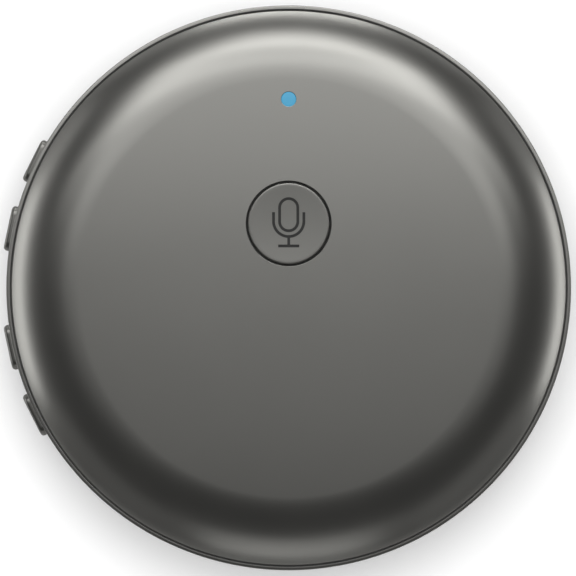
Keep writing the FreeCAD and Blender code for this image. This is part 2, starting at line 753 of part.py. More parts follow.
def make_talk_switch():
    body = new_body("talk_switch_body")
    base = sketch_on(body, "SwitchOutline", "XY_Plane", BOARD_TOP)
    add_rounded_box(base, "0", "0", "talk_switch_width", "talk_switch_width", "talk_edge * 3")
    add_feature(body, "Pad", "SwitchBlock", base, "talk_switch_height")
    well = sketch_on(body, "WellOutline", "XY_Plane", TALK_SWITCH_TOP)
    add_circle(well, "0", "0", "talk_plunger_radius + plunger_clearance")
    add_feature(body, "Pocket", "Well", well,
                "talk_plunger_depth + talk_travel + plunger_end_gap")
    place(body, along="talk_offset")
    plunger = doc.addObject("Part::Cylinder", "talk_switch_plunger")
    plunger.Label = "talk_switch_plunger"
    bind(plunger, "Radius", "talk_plunger_radius")
    bind(plunger, "Height", "talk_plunger_length")
    place(plunger, "0", "talk_offset", TALK_PLUNGER_BOTTOM)
    pieces.append(plunger)


def make_lamp():
    body = new_body("lamp_light_pipe")
    flange_top = "(%s - lamp_flange_drop)" % LAMP_TOP
    revolved(body, "Pipe", [
        ("0", LAMP_TOP),
        ("lamp_radius - lamp_clearance", LAMP_TOP),
        ("lamp_radius", "%s - lamp_clearance" % LAMP_TOP),
        ("lamp_radius", flange_top),
        ("lamp_flange_radius", flange_top),
        ("lamp_flange_radius", "%s - lamp_flange_height" % flange_top),
        ("lamp_radius", "%s - lamp_flange_height" % flange_top),
        ("lamp_radius", LAMP_BOTTOM),
        ("0", LAMP_BOTTOM),
    ])
    place(body, along=LAMP_PLACE)
    block("status_led", "0", LAMP_PLACE, BOARD_TOP, "led_length", "led_width", "led_height")
    shield = new_body("light_shield")
    revolved(shield, "Shield", [
        ("shield_radius - shield_wall", BOARD_TOP),
        ("shield_radius", BOARD_TOP),
        ("shield_radius", "%s + shield_height" % BOARD_TOP),
        ("shield_radius - shield_wall", "%s + shield_height" % BOARD_TOP),
    ])
    place(shield, along=LAMP_PLACE)


KEY_NAMES = ("power_key", "volume_up_key", "volume_down_key", "language_key")
KEY_ANGLES = (
    "(180 - key_outer_angle)",
    "(180 - key_inner_angle)",
    "(180 + key_inner_angle)",
    "(180 + key_outer_angle)",
)


def facing_out(body, name, distance):
    return sketch_on(body, name, "YZ_Plane", distance)


def make_side_key(label, angle):
    body = new_body(label)
    flange = facing_out(body, "FlangeOutline", KEY_FLANGE_BACK)
    add_rounded_box(flange, "0", SIDE_AXIS, "key_length + 2 * key_flange_overlap",
                    "key_width + 2 * key_flange_overlap", "key_round")
    add_feature(body, "Pad", "Flange", flange, "key_flange_thickness")
    cap = facing_out(body, "CapOutline", KEY_FLANGE_FACE)
    add_stadium(cap, "0", SIDE_AXIS, "key_length", "key_width")
    cap_pad = add_feature(body, "Pad", "KeyCap", cap,
                          "case_radius + key_stand - %s" % KEY_FLANGE_FACE)
    front = value("case_radius + key_stand")
    tip = round_edges(body, "CapRound", cap_pad, lambda edge: all(
        abs(corner.X - front) < TOUCH for corner in edge.Vertexes), "key_round")
    stem = facing_out(body, "StemOutline", KEY_FLANGE_BACK)
    add_box(stem, "0", SIDE_AXIS, "key_stem_width", "key_stem_height")
    add_feature(body, "Pad", "Stem", stem, "key_stem_length", flipped=True)
    place(body, turn=angle)
    return tip


def make_key_switch(label, angle):
    body = new_body(label + "_switch_body")
    base = facing_out(body, "SwitchOutline", "%s - key_switch_depth" % KEY_SWITCH_FACE)
    add_box(base, "0", SIDE_AXIS, "key_switch_length", "key_switch_height")
    add_feature(body, "Pad", "SwitchBlock", base, "key_switch_depth")
    well = facing_out(body, "WellOutline", KEY_SWITCH_FACE)
    add_box(well, "0", SIDE_AXIS, "key_plunger_length + 2 * plunger_clearance",
            "key_plunger_width + 2 * plunger_clearance")
    add_feature(body, "Pocket", "Well", well, "key_plunger_depth + key_travel + plunger_end_gap")
    place(body, turn=angle)
    plunger = new_body(label + "_switch_plunger")
    face = facing_out(plunger, "PlungerOutline", KEY_PLUNGER_END)
    add_box(face, "0", SIDE_AXIS, "key_plunger_length", "key_plunger_width")
    add_feature(plunger, "Pad", "Plunger", face, "%s - %s" % (KEY_STEM_END, KEY_PLUNGER_END))
    place(plunger, turn=angle)


def make_port():
    shell = new_body("usb_port_shell")
    back = "(%s - port_depth)" % PORT_MOUTH
    tube = facing_out(shell, "ShellOutline", back)
    add_stadium(tube, "0", SIDE_AXIS, "port_width", "port_height")
    add_feature(shell, "Pad", "Shell", tube, "port_depth")
    inside = facing_out(shell, "MouthOutline", PORT_MOUTH)
    add_stadium(inside, "0", SIDE_AXIS,
                "port_width - 2 * port_wall", "port_height - 2 * port_wall")
    add_feature(shell, "Pocket", "Mouth", inside, "port_depth - port_wall")
    place(shell, turn="-90")
    tongue = new_body("usb_port_tongue")
    base = facing_out(tongue, "BaseOutline", "%s + port_wall" % back)
    add_stadium(base, "0", SIDE_AXIS,
                "port_width - 2 * port_wall - port_clearance",
                "port_height - 2 * port_wall - port_clearance")
    add_feature(tongue, "Pad", "Base", base, "port_base_depth")
    blade = facing_out(tongue, "BladeOutline", "%s + port_wall" % back)
    add_box(blade, "0", SIDE_AXIS, "tongue_width", "tongue_height")
    add_feature(tongue, "Pad", "Blade", blade, "port_base_depth + tongue_length")
    place(tongue, turn="-90")


def make_microphone(which, angle):
    body = new_body("microphone_" + which)
    can = facing_out(body, "CanOutline", "%s - microphone_depth" % MICROPHONE_FACE)
    centre = "%s - microphone_height / 2" % BOARD_BOTTOM
    add_box(can, "0", centre, "microphone_length", "microphone_height")
    add_feature(body, "Pad", "Can", can, "microphone_depth")
    place(body, turn=angle)
    boot = new_body("microphone_boot_" + which)
    start = "(%s + boot_gap)" % MICROPHONE_FACE
    sleeve = facing_out(boot, "SleeveOutline", start)
    add_box(sleeve, "0", SIDE_AXIS, "boot_width", "boot_height")
    length = "sqrt(%s^2 - (boot_width / 2)^2) - boot_gap - %s" % (FRAME_INNER, start)
    add_feature(boot, "Pad", "Sleeve", sleeve, length)
    channel = facing_out(boot, "ChannelOutline", "case_radius")
    add_circle(channel, "0", SIDE_AXIS, "sound_hole_radius")
    add_feature(boot, "Pocket", "Channel", channel, through=True)
    place(boot, turn=angle)


def make_speaker():
    frame = new_body("speaker_frame")
    magnet_hole = "(magnet_radius + magnet_clearance)"
    inner = "(speaker_radius - speaker_rim)"
    revolved(frame, "Basket", [
        (inner, SPEAKER_BOTTOM),
        ("speaker_radius", SPEAKER_BOTTOM),
        ("speaker_radius", SPEAKER_TOP),
        (magnet_hole, SPEAKER_TOP),
        (magnet_hole, "%s - speaker_plate" % SPEAKER_TOP),
        (inner, "%s - speaker_plate" % SPEAKER_TOP),
    ])
    place(frame, along="-speaker_offset")
    magnet = new_body("speaker_magnet")
    disc = sketch_on(magnet, "MagnetOutline", "XY_Plane", "%s - speaker_plate" % SPEAKER_TOP)
    add_circle(disc, "0", "0", "magnet_radius")
    add_feature(magnet, "Pad", "Magnet", disc,
                "%s - magnet_top_gap - (%s - speaker_plate)" % (BOARD_BOTTOM, SPEAKER_TOP))
    place(magnet, along="-speaker_offset")
    cone = new_body("speaker_cone")
    low = "(%s + cone_lift)" % SPEAKER_BOTTOM
    edge = "(%s - cone_clearance)" % inner
    revolved(cone, "Diaphragm", [
        ("0", "%s + cone_thickness" % low),
        ("magnet_radius", "%s + cone_thickness" % low),
        (edge, low),
        (edge, "%s + cone_thickness" % low),
        ("magnet_radius", "%s + 2 * cone_thickness" % low),
        ("0", "%s + 2 * cone_thickness" % low),
    ])
    place(cone, along="-speaker_offset")
    gasket = new_body("speaker_gasket")
    revolved(gasket, "Gasket", [
        ("speaker_radius - gasket_width", MESH_TOP),
        ("speaker_radius", MESH_TOP),
        ("speaker_radius", SPEAKER_BOTTOM),
        ("speaker_radius - gasket_width", SPEAKER_BOTTOM),
    ])
    place(gasket, along="-speaker_offset")
    mesh = doc.addObject("Part::Cylinder", "speaker_mesh")
    mesh.Label = "speaker_mesh"
    bind(mesh, "Radius", "speaker_radius - mesh_inset")
    bind(mesh, "Height", "mesh_thickness")
    place(mesh, "0", "-speaker_offset", FLOOR)
    pieces.append(mesh)


def make_battery():
    body = new_body("battery_cell")
    outline = sketch_on(body, "CellOutline", "XY_Plane", BATTERY_BOTTOM)
    add_rounded_box(outline, "0", BATTERY_PLACE, "battery_width", "battery_length",
                    "battery_corner")
    cell = add_feature(body, "Pad", "Cell", outline, BATTERY_HEIGHT)
    low = value(BATTERY_BOTTOM)
    high = value(BATTERY_TOP)
    round_edges(body, "CellRound", cell, lambda edge: edge.BoundBox.ZLength < TOUCH
                and min(abs(edge.BoundBox.ZMin - low), abs(edge.BoundBox.ZMin - high)) < TOUCH,
                "battery_round")
    block("battery_pad", "0", BATTERY_PLACE, FLOOR, "battery_width - 2 * pad_margin",
          "battery_length - 2 * pad_margin", "pad_thickness")
    socket_bottom = "%s - socket_height" % BOARD_BOTTOM
    block("battery_socket", "socket_place", "socket_offset", socket_bottom,
          "socket_width", "socket_depth", "socket_height")
    block("battery_plug", "socket_place", "socket_offset + (socket_depth + plug_depth) / 2",
          "%s - (socket_height + plug_height) / 2" % BOARD_BOTTOM,
          "plug_width", "plug_depth", "plug_height")


def wire(points, radius):
    """Round wire along straight runs joined by tangent arcs."""
    edges = []
    start = points[0]
    for before, corner, after in zip(points, points[1:], points[2:]):
        inward = (before - corner).normalize()
        outward = (after - corner).normalize()
        turn = math.pi - inward.getAngle(outward)
        run = min((before - corner).Length, (after - corner).Length)
        bend = 0.45 * run / math.tan(turn / 2)
        trim = 0.45 * run
        first, last = corner + inward * trim, corner + outward * trim
        centre_line = (inward + outward).normalize()
        centre = corner + centre_line * (bend / math.cos(turn / 2))
        middle = centre - centre_line * bend
        print("wire bend radius %.2f" % bend)
        edges.append(Part.LineSegment(start, first).toShape())
        edges.append(Part.Arc(first, middle, last).toShape())
        start = last
    edges.append(Part.LineSegment(start, points[-1]).toShape())
    path = Part.Wire(edges)
    way = points[1] - points[0]
    section = Part.Wire([Part.Circle(points[0], way, radius).toShape()])
    tube = path.makePipeShell([section], True, False)
    expected = math.pi * radius ** 2 * path.Length
    if abs(tube.Volume - expected) > 0.01 * expected:
        raise ValueError("a wire has the wrong volume")
    return tube


def add_wires(label, routes):
    radius = value("wire_radius")
    tubes = [wire([FreeCAD.Vector(*point) for point in route], radius) for route in routes]
    item = doc.addObject("Part::Feature", label)
    item.Label = label
    item.Shape = Part.makeCompound(tubes)
    pieces.append(item)


def make_wires():
    """Battery leads to the plug and speaker leads to the underside of the board."""
    pitch = value("wire_pitch")
    plug_back = value("socket_offset + socket_depth / 2 + plug_depth")
    plug_level = value("%s - socket_height / 2" % BOARD_BOTTOM)
    cell_edge = value(BATTERY_EDGE)
    cell_level = (value(BATTERY_BOTTOM) + value(BATTERY_TOP)) / 2
    cell_side = value("-battery_width / 2 + battery_corner + wire_pitch")
    plug_place = value("socket_place")
    middle = (cell_edge + plug_back) / 2
    routes = []
    for step in (-0.5, 0.5):
        across = plug_place + step * pitch
        routes.append([
            (cell_side + (step + 0.5) * pitch, cell_edge, cell_level),
            (cell_side + (step + 0.5) * pitch, middle, cell_level),
            (across, middle - value("wire_radius"), plug_level),
            (across, plug_back, plug_level),
        ])
    add_wires("battery_leads", routes)
    side = value("speaker_radius")
    rim_top = value("%s + speaker_rib_height" % FLOOR)
    level = (rim_top + value(SPEAKER_TOP)) / 2 + value("wire_radius")
    level = max(level, rim_top + 2 * value("wire_radius"))
    beyond = value("speaker_gap + speaker_rib + wire_pitch")
    speaker_along = -value("speaker_offset")
    board = value(BOARD_BOTTOM)
    routes = []
    for step in (-0.5, 0.5):
        along = speaker_along + step * pitch
        routes.append([
            (side - value("magnet_clearance"), along, level),
            (side + beyond, along, level),
            (side + beyond, along, board),
        ])
    add_wires("speaker_leads", routes)


def make_board_parts():
    block("processor_can", "can_place", "can_offset", BOARD_TOP,
          "can_width", "can_length", "can_height")
    block("radio_module", "radio_place", "radio_offset", BOARD_TOP,
          "radio_width", "radio_length", "radio_height")
    block("antenna", "%s - antenna_inset" % BOARD_RADIUS, "0", BOARD_TOP,
          "antenna_width", "antenna_length", "antenna_height")
    chips = new_body("board_chips")
    outline = sketch_on(chips, "ChipOutlines", "XY_Plane", BOARD_TOP)
    for across, along in (("chip_place", "chip_offset"), ("-chip_place", "chip_offset"),
                          ("0", "-(chip_offset + chip_size)")):
        add_box(outline, across, along, "chip_size", "chip_size")
    add_feature(chips, "Pad", "Chips", outline, "chip_height")


make_top_cover()
make_mid_frame()
make_back_cover()
make_foot_ring()
make_case_screws()
make_main_board()
make_talk_button()
make_talk_switch()
make_lamp()
for key_name, key_angle in zip(KEY_NAMES, KEY_ANGLES):
    make_side_key(key_name, key_angle)
    make_key_switch(key_name, key_angle)
make_port()
make_microphone("upper", "microphone_upper_angle")
make_microphone("lower", "microphone_lower_angle")
make_speaker()
make_battery()
make_wires()
make_board_parts()
doc.recompute()

for item in doc.Objects:
    if "Invalid" in item.State or "Error" in item.State:
        raise ValueError("%s did not build" % item.Label)
for piece in pieces:
    if piece.Shape.isNull() or not piece.Shape.isValid() or not piece.Shape.Solids:
        raise ValueError("%s has no sound solid" % piece.Label)

os.makedirs("parts", exist_ok=True)
for piece in pieces:
    piece.Shape.exportStep("parts/%s.step" % piece.Label)
    print("%-30s %2d solid(s) %10.2f mm3" % (piece.Label, len(piece.Shape.Solids),
                                             piece.Shape.Volume))
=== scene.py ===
import json
import math

import bmesh
import bpy
from bpy.props import FloatProperty, FloatVectorProperty, IntProperty, PointerProperty
from mathutils import Matrix, Vector


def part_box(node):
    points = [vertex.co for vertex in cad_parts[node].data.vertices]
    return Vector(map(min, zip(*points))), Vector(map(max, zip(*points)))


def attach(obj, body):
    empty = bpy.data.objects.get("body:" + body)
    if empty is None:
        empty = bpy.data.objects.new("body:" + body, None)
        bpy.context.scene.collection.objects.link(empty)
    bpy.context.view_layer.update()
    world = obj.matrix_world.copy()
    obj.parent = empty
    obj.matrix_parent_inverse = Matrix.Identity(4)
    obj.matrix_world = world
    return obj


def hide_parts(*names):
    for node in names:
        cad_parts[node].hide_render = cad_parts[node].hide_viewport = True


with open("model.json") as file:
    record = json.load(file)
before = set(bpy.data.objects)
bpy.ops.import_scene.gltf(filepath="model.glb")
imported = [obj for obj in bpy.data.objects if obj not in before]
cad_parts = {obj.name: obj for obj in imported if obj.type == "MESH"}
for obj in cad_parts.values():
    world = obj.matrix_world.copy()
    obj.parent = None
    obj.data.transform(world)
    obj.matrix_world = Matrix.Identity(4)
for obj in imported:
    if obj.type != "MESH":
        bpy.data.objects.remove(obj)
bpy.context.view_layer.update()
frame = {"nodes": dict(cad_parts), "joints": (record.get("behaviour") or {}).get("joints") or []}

bl_info = {
    "name": "Handheld translator",
    "version": (1, 0, 0),
    "blender": (4, 5, 0),
    "location": "View3D > Sidebar > Translator",
    "description": "Dresses the packed parts of a round handheld translator",
    "category": "Add Mesh",
}

MM = 0.001
LEFT = 1
RIGHT = -1
FULL_TURN = 2 * math.pi
# Edges sharper than this stay sharp; the front cover's small bevels need less.
SHARP = math.radians(30)
RIM_SHARP = math.radians(20)
# Points this near are one, and an edge this short is a sliver.
SAME = 1e-7
SLIVER = 1e-8
NEAR = 0.002 * MM
HAIR = 0.02 * MM
WELD = 0.1 * MM

LEDGE_GAP = 0.35 * MM
LAMP_RADIUS = 0.85 * MM
LAMP_ROUND = 0.12 * MM
LAMP_SKIRT = 1.75 * MM
LAMP_FLANGE = 0.5 * MM
LUG_ROUND = 0.05 * MM
KEY_STEM = 1.1 * MM
KEY_STEM_WIDTH = 1.6 * MM
KEY_STEM_HEIGHT = 1.2 * MM
KEY_STEM_ROUND = 0.1 * MM
KEY_FLANGE_ROUND = 0.4 * MM
FOOT_ROUND = 0.2 * MM
HEAD_ROUND = 0.2 * MM
TIP_ROUND = 0.15 * MM
PORT_ROUND = 0.08 * MM

# Sides of each turned or round shape.
COVER_SIDES = 432
FRAME_SIDES = 576
FOOT_SIDES = 256
BUTTON_SIDES = 192
WALL_SIDES = 128
LAMP_SIDES = 96
SCREW_SIDES = 48
BORE_SIDES = 32
HOLE_SIDES = 24

FLOOR_REACH = 6.0
BACKDROP = 0.92
UPRIGHT = (0, 0, 1)
KEYS = ("power_key", "volume_up_key", "volume_down_key", "language_key")
# Side of the photo, and the device's outline in it, in pixels.
PHOTO_SIDE = 576
SILHOUETTE_RADIUS = 282.5
SILHOUETTE_CENTRE = (288.7, 287.9)


def length(name, description, millimetres):
    return FloatProperty(name=name, description=description, default=millimetres * MM,
                         unit='LENGTH', subtype='DISTANCE', precision=5)


def colour(name, description, shade):
    return FloatVectorProperty(name=name, description=description, default=shade,
                               subtype='COLOR', size=3, min=0.0, max=1.0)


class CoverSizes(bpy.types.PropertyGroup):
    """Sizes of the front cover"""
    wall: length("Wall", "Thickness of the front cover", 1.4)
    shoulder_width: length("Shoulder width", "How far in the roll-over starts", 8.15)
    shoulder_radius: length("Shoulder radius", "Bend of the roll-over", 13.0)
    crown_drop: length("Crown drop", "How far the face falls from its middle to the shoulder", 0.8)
    edge_round: length("Edge round", "Rounding of the cover's lower edge", 0.1)
    hole_gap: length("Button gap", "Gap all round the talk button", 0.27)
    hole_bevel: length("Hole bevel", "Width of the bevel round the holes", 0.03)
    lamp_gap: length("Lamp gap", "Gap all round the lamp", 0.04)
    guide_gap: length("Guide gap", "Gap between the button's flange and its guide", 0.15)
    guide_wall: length("Guide wall", "Thickness of the button's guide", 0.8)
    guide_height: length("Guide height", "Height of the button's guide", 1.7)
    post: length("Post", "Radius of a screw post", 2.2)
    pilot: length("Pilot", "Radius of a post's hole", 0.75)
    pilot_depth: length("Pilot depth", "Depth of a post's hole", 3.2)


class ButtonSizes(bpy.types.PropertyGroup):
    """Sizes of the talk button and its sunk symbol"""
    radius: length("Radius", "Radius of the talk button", 4.78)
    dish: length("Dish", "How far the middle of the button is hollowed", 0.07)
    edge_round: length("Edge round", "Rounding of the button's top edge", 0.14)
    skirt: length("Height", "Height of the button above its flange", 1.7)
    flange: length("Flange", "Thickness of the flange that keeps the button in", 0.5)
    stem_radius: length("Stem radius", "Radius of the stem under the button", 1.4)
    line: length("Line", "Width of the symbol's lines", 0.33)
    depth: length("Depth", "How deep the symbol is sunk", 0.15)
    capsule_width: length("Capsule width", "Width of the symbol's capsule", 2.15)
    capsule_height: length("Capsule height", "Height of the symbol's capsule", 3.8)
    capsule_rise: length("Capsule rise", "Place of the capsule over the button's middle", 1.04)
    cradle_width: length("Cradle width", "Width of the bow under the capsule", 3.58)
    cradle_top: length("Cradle top", "Top of the bow over the button's middle", 1.33)
    cradle_bottom: length("Cradle bottom", "Lowest point of the bow under the middle", 1.54)
    foot: length("Foot", "Place of the symbol's foot under the middle", 2.65)
    foot_width: length("Foot width", "Width of the symbol's foot", 2.48)


class FrameSizes(bpy.types.PropertyGroup):
    """Sizes of the mid-frame, the side keys and the port"""
    wall: length("Wall", "Thickness of the mid-frame's wall", 1.75)
    lip: length("Lip", "Width of the ring that shows round the cover", 0.4)
    lip_round: length("Lip round", "Rounding of that ring's inner edge", 0.03)
    edge_round: length("Edge round", "Rounding of the mid-frame's edges", 0.12)
    lip_fall: length("Lip fall", "How much lower the lip is at its outer edge", 0.05)
    key_length: length("Key length", "Length of a side key", 5.4)
    key_width: length("Key width", "Width of a side key", 2.2)
    key_gap: length("Key gap", "Gap all round a side key", 0.12)
    key_round: length("Key round", "Rounding of a side key's face", 0.42)
    key_flange: length("Key flange", "Thickness of the flange behind a side key", 0.5)
    port_gap: length("Port gap", "Gap all round the port's shell", 0.1)
    port_wall: length("Port wall", "Thickness of the port's shell", 0.3)
    sound_hole: length("Sound hole", "Radius of a microphone's hole", 0.5)


class BackSizes(bpy.types.PropertyGroup):
    """Sizes of the back cover, the foot ring and the screws"""
    wall: length("Wall", "Thickness of the back cover", 1.2)
    curve_width: length("Curve width", "How far in the back's edge starts to curve", 5.05)
    floor_step: length("Floor step", "How far the inner curve starts inside the outer one", 0.3)
    parting_groove: length("Parting groove", "Height of the groove under the mid-frame", 0.2)
    parting_depth: length("Parting depth", "Depth of that groove", 0.9)
    lip_width: length("Lip width", "Thickness of the lip inside the mid-frame", 0.9)
    lip_height: length("Lip height", "Height of that lip over the parting", 0.45)
    lip_gap: length("Lip gap", "Gap between that lip and the mid-frame", 0.15)
    edge_round: length("Edge round", "Rounding of the back's small edges", 0.1)
    foot_width: length("Foot width", "Width of the rubber ring", 2.2)
    foot_gap: length("Foot gap", "Gap beside the rubber ring", 0.05)
    hole_pitch: length("Hole pitch", "Distance between rings of speaker holes", 2.1)
    hole_radius: length("Hole radius", "Radius of a speaker hole", 0.45)
    hole_rings: IntProperty(name="Hole rings", description="Rings of speaker holes", default=3)
    screw_circle: length("Screw circle", "How far out the screws are", 26.0)
    bore: length("Bore", "Radius of a screw's through hole", 0.85)
    rib: length("Rib", "Thickness of the rib round the speaker", 0.8)
    rib_gap: length("Rib gap", "Gap between the speaker and its rib", 0.15)
    rib_height: length("Rib height", "Height of the rib round the speaker", 1.3)
    screw_gap: length("Screw gap", "Gap round a screw's head", 0.1)
    head_radius: length("Head radius", "Radius of a screw's head", 1.3)
    head_height: length("Head height", "Height of a screw's head", 0.8)
    shank_radius: length("Shank radius", "Radius of a screw's shank", 0.75)
    socket_radius: length("Socket radius", "Radius of a screw's hexagon socket", 0.65)
    socket_depth: length("Socket depth", "Depth of a screw's hexagon socket", 0.4)


class Finishes(bpy.types.PropertyGroup):
    """Colours of the finishes"""
    paint: colour("Gunmetal", "Satin metallic paint of the cover and button", (0.40, 0.396, 0.374))
    rim: colour("Rim metal", "Fine satin metal of the mid-frame", (0.42, 0.416, 0.394))
    key: colour("Key", "Metal of the side keys", (0.3, 0.297, 0.28))
    back: colour("Back plastic", "Fine matt plastic of the back", (0.075, 0.074, 0.071))
    lamp: colour("Lamp", "Light of the status lamp", (0.075, 0.34, 0.53))
    floor: colour("Floor", "Plain floor under the device", (0.88, 0.88, 0.88))


class Studio(bpy.types.PropertyGroup):
    """The camera and the light round the device"""
    lens: FloatProperty(name="Lens", description="Focal length in millimetres", default=500.0)
    distance: length("Distance", "From the device to each panel of light", 550.0)
    dim: FloatProperty(name="Dim", description="Level of the dark room in reflections",
                       default=0.055)
    low: FloatProperty(name="Low", description="Level of the floor in reflections", default=0.32)
    fill: FloatProperty(name="Fill", description="Level of the soft light on matt surfaces",
                        default=1.1)


def bow(start, end, radius, side, steps):
    """Points after start, up to end, on the short arc with its centre on that side."""
    start, end = Vector(start), Vector(end)
    chord = end - start
    normal = Vector((-chord.y, chord.x)).normalized() * side
    reach = math.sqrt(max(radius ** 2 - (chord.length / 2) ** 2, 0.0))
    centre = (start + end) / 2 + normal * reach
    first = math.atan2(start.y - centre.y, start.x - centre.x)
    last = math.atan2(end.y - centre.y, end.x - centre.x)
    turn = (last - first + math.pi) % FULL_TURN - math.pi
    points = []
    for step in range(1, steps + 1):
        angle = first + turn * step / steps
        points.append((centre.x + radius * math.cos(angle), centre.y + radius * math.sin(angle)))
    return points


def soften(corners, steps=5):
    """Section through corners, each given as radius, height and rounding."""
    points = []
    for index, (across, up, rounding) in enumerate(corners):
        if not rounding:
            points.append((across, up))
            continue
        here = Vector((across, up))
        after = Vector(corners[(index + 1) % len(corners)][:2])
        back = (Vector(corners[index - 1][:2]) - here).normalized()
        ahead = (after - here).normalized()
        trim = rounding / math.tan(back.angle(ahead) / 2)
        start, end = here + back * trim, here + ahead * trim
        crossing = ahead.x * back.y - ahead.y * back.x
        points.append(tuple(start))
        points += bow(start, end, rounding, LEFT if crossing > 0 else RIGHT, steps)
    return points


def plain(points):
    """Corners without rounding."""
    return [(across, up, 0.0) for across, up in points]


def shade(mesh, sharp=SHARP):
    """Smooth a mesh up to the sharp angle."""
    mesh.shade_smooth()
    mesh.set_sharp_from_angle(angle=sharp)


def new_piece(name, shape):
    """Object at the origin from a bmesh."""
    bmesh.ops.remove_doubles(shape, verts=shape.verts, dist=SAME)
    bmesh.ops.dissolve_degenerate(shape, dist=SLIVER, edges=shape.edges)
    bmesh.ops.recalc_face_normals(shape, faces=shape.faces)
    mesh = bpy.data.meshes.new(name)
    shape.to_mesh(mesh)
    shape.free()
    shade(mesh)
    piece = bpy.data.objects.new(name, mesh)
    bpy.context.scene.collection.objects.link(piece)
    return piece


def discard(piece):
    """Remove a piece with its mesh."""
    mesh = piece.data
    bpy.data.objects.remove(piece)
    bpy.data.meshes.remove(mesh)


def lathe(name, section, steps, along=0.0):
    """Turn a section round the upright; one that starts on the axis is left open there."""
    shape = bmesh.new()
    verts = [shape.verts.new((across, 0, up)) for across, up in section]
    edges = [shape.edges.new(pair) for pair in zip(verts, verts[1:])]
    if section[0][0] > 0:
        edges.append(shape.edges.new((verts[-1], verts[0])))
    bmesh.ops.spin(shape, geom=verts + edges, cent=(0, 0, 0), axis=UPRIGHT, angle=FULL_TURN,
                   steps=steps, use_merge=True)
    bmesh.ops.translate(shape, verts=shape.verts, vec=(0, along, 0))
    return new_piece(name, shape)


def bevel(shape, edges, width, segments):
    """Round some edges of a bmesh."""
    bmesh.ops.bevel(shape, geom=edges, offset=width, offset_type='OFFSET', segments=segments,
                    profile=0.5, affect='EDGES', material=-1)


def rounded_bar(name, near, far, width, height, level, angle, front_round=0.0, corner=None):
    """Round-ended bar that lies square to the rim, from near to far out, at an angle."""
    shape = bmesh.new()
    bmesh.ops.create_cube(shape, size=1.0)
    bmesh.ops.scale(shape, verts=shape.verts, vec=(far - near, width, height))
    long_edges = [edge for edge in shape.edges
                  if abs(edge.verts[0].co.x - edge.verts[1].co.x) > 0.5 * (far - near)]
    bevel(shape, long_edges, corner or 0.5 * height, 14)
    bmesh.ops.remove_doubles(shape, verts=shape.verts, dist=SAME)
    bmesh.ops.dissolve_degenerate(shape, dist=SLIVER, edges=shape.edges)
    if front_round:
        front = max(vert.co.x for vert in shape.verts)
        rim = [edge for edge in shape.edges
               if all(front - vert.co.x < SAME for vert in edge.verts)]
        bevel(shape, rim, front_round, 8)
    bmesh.ops.translate(shape, verts=shape.verts, vec=((near + far) / 2, 0, level))
    turn = Matrix.Rotation(angle, 3, 'Z')
    bmesh.ops.rotate(shape, verts=shape.verts, cent=(0, 0, 0), matrix=turn)
    return new_piece(name, shape)


def peg(name, radius, low, high, place=(0, 0), sides=64):
    """Upright closed cylinder."""
    shape = bmesh.new()
    bmesh.ops.create_cone(shape, cap_ends=True, segments=sides, radius1=radius, radius2=radius,
                          depth=high - low)
    middle = (place[0], place[1], (low + high) / 2)
    bmesh.ops.translate(shape, verts=shape.verts, vec=middle)
    return new_piece(name, shape)


def settled(piece):
    """Apply the modifiers of a piece."""
    graph = bpy.context.evaluated_depsgraph_get()
    mesh = bpy.data.meshes.new_from_object(piece.evaluated_get(graph))
    old = piece.data
    piece.modifiers.clear()
    piece.data = mesh
    bpy.data.meshes.remove(old)
    mesh.name = piece.name
    return piece


def combine(piece, others, operation):
    """Work closed shapes into a piece and remove them."""
    for other in others:
        step = piece.modifiers.new("step", 'BOOLEAN')
        step.operation = operation
        step.solver = 'EXACT'
        step.object = other
    settled(piece)
    for other in others:
        discard(other)
    shade(piece.data)
    return piece


def carve(piece, cutters):
    """Cut closed shapes out of a piece."""
    return combine(piece, cutters, 'DIFFERENCE')


def unite(piece, others):
    """Weld closed shapes into a piece."""
    return combine(piece, others, 'UNION')


def join(name, pieces):
    """One piece from several."""
    shape = bmesh.new()
    for piece in pieces:
        shape.from_mesh(piece.data)
        discard(piece)
    return new_piece(name, shape)


def stroke(name, path, width, low, high, place, closed=False):
    """Upright wall of a given width along a flat path."""
    shape = bmesh.new()
    verts = [shape.verts.new((across, up + place, low)) for across, up in path]
    edges = [shape.edges.new(pair) for pair in zip(verts, verts[1:])]
    if closed:
        edges.append(shape.edges.new((verts[-1], verts[0])))
    raised = bmesh.ops.extrude_edge_only(shape, edges=edges)["geom"]
    tops = [item for item in raised if isinstance(item, bmesh.types.BMVert)]
    bmesh.ops.translate(shape, verts=tops, vec=(0, 0, high - low))
    wall = new_piece(name, shape)
    thick = wall.modifiers.new("width", 'SOLIDIFY')
    thick.thickness = width
    thick.offset = 0.0
    thick.use_even_offset = True
    return settled(wall)


def fit(piece, body, node, material):
    """Let a piece stand for a node of the frame."""
    piece.data.materials.clear()
    piece.data.materials.append(material)
    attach(piece, body)
    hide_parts(node)
    return piece


def refinish(piece, material, chosen):
    """Give the chosen faces of a piece, told by centre and normal, a finish of their own."""
    piece.data.materials.append(material)
    index = len(piece.data.materials) - 1
    for face in piece.data.polygons:
        if chosen(face.center, face.normal):
            face.material_index = index


def round_rim(piece, width, chosen):
    """Round the edges of a piece whose two ends are both chosen."""
    shape = bmesh.new()
    shape.from_mesh(piece.data)
    rim = [edge for edge in shape.edges if all(chosen(vert.co) for vert in edge.verts)
           and edge.calc_face_angle(0.0) > SHARP]
    bevel(shape, rim, width, 2)
    shape.to_mesh(piece.data)
    shape.free()


def add_node(tree, kind, values):
    """New node, with each given input set or linked to an output."""
    node = tree.nodes.new(kind)
    for slot, value in values.items():
        if isinstance(value, bpy.types.NodeSocket):
            tree.links.new(value, node.inputs[slot])
        else:
            node.inputs[slot].default_value = value
    return node


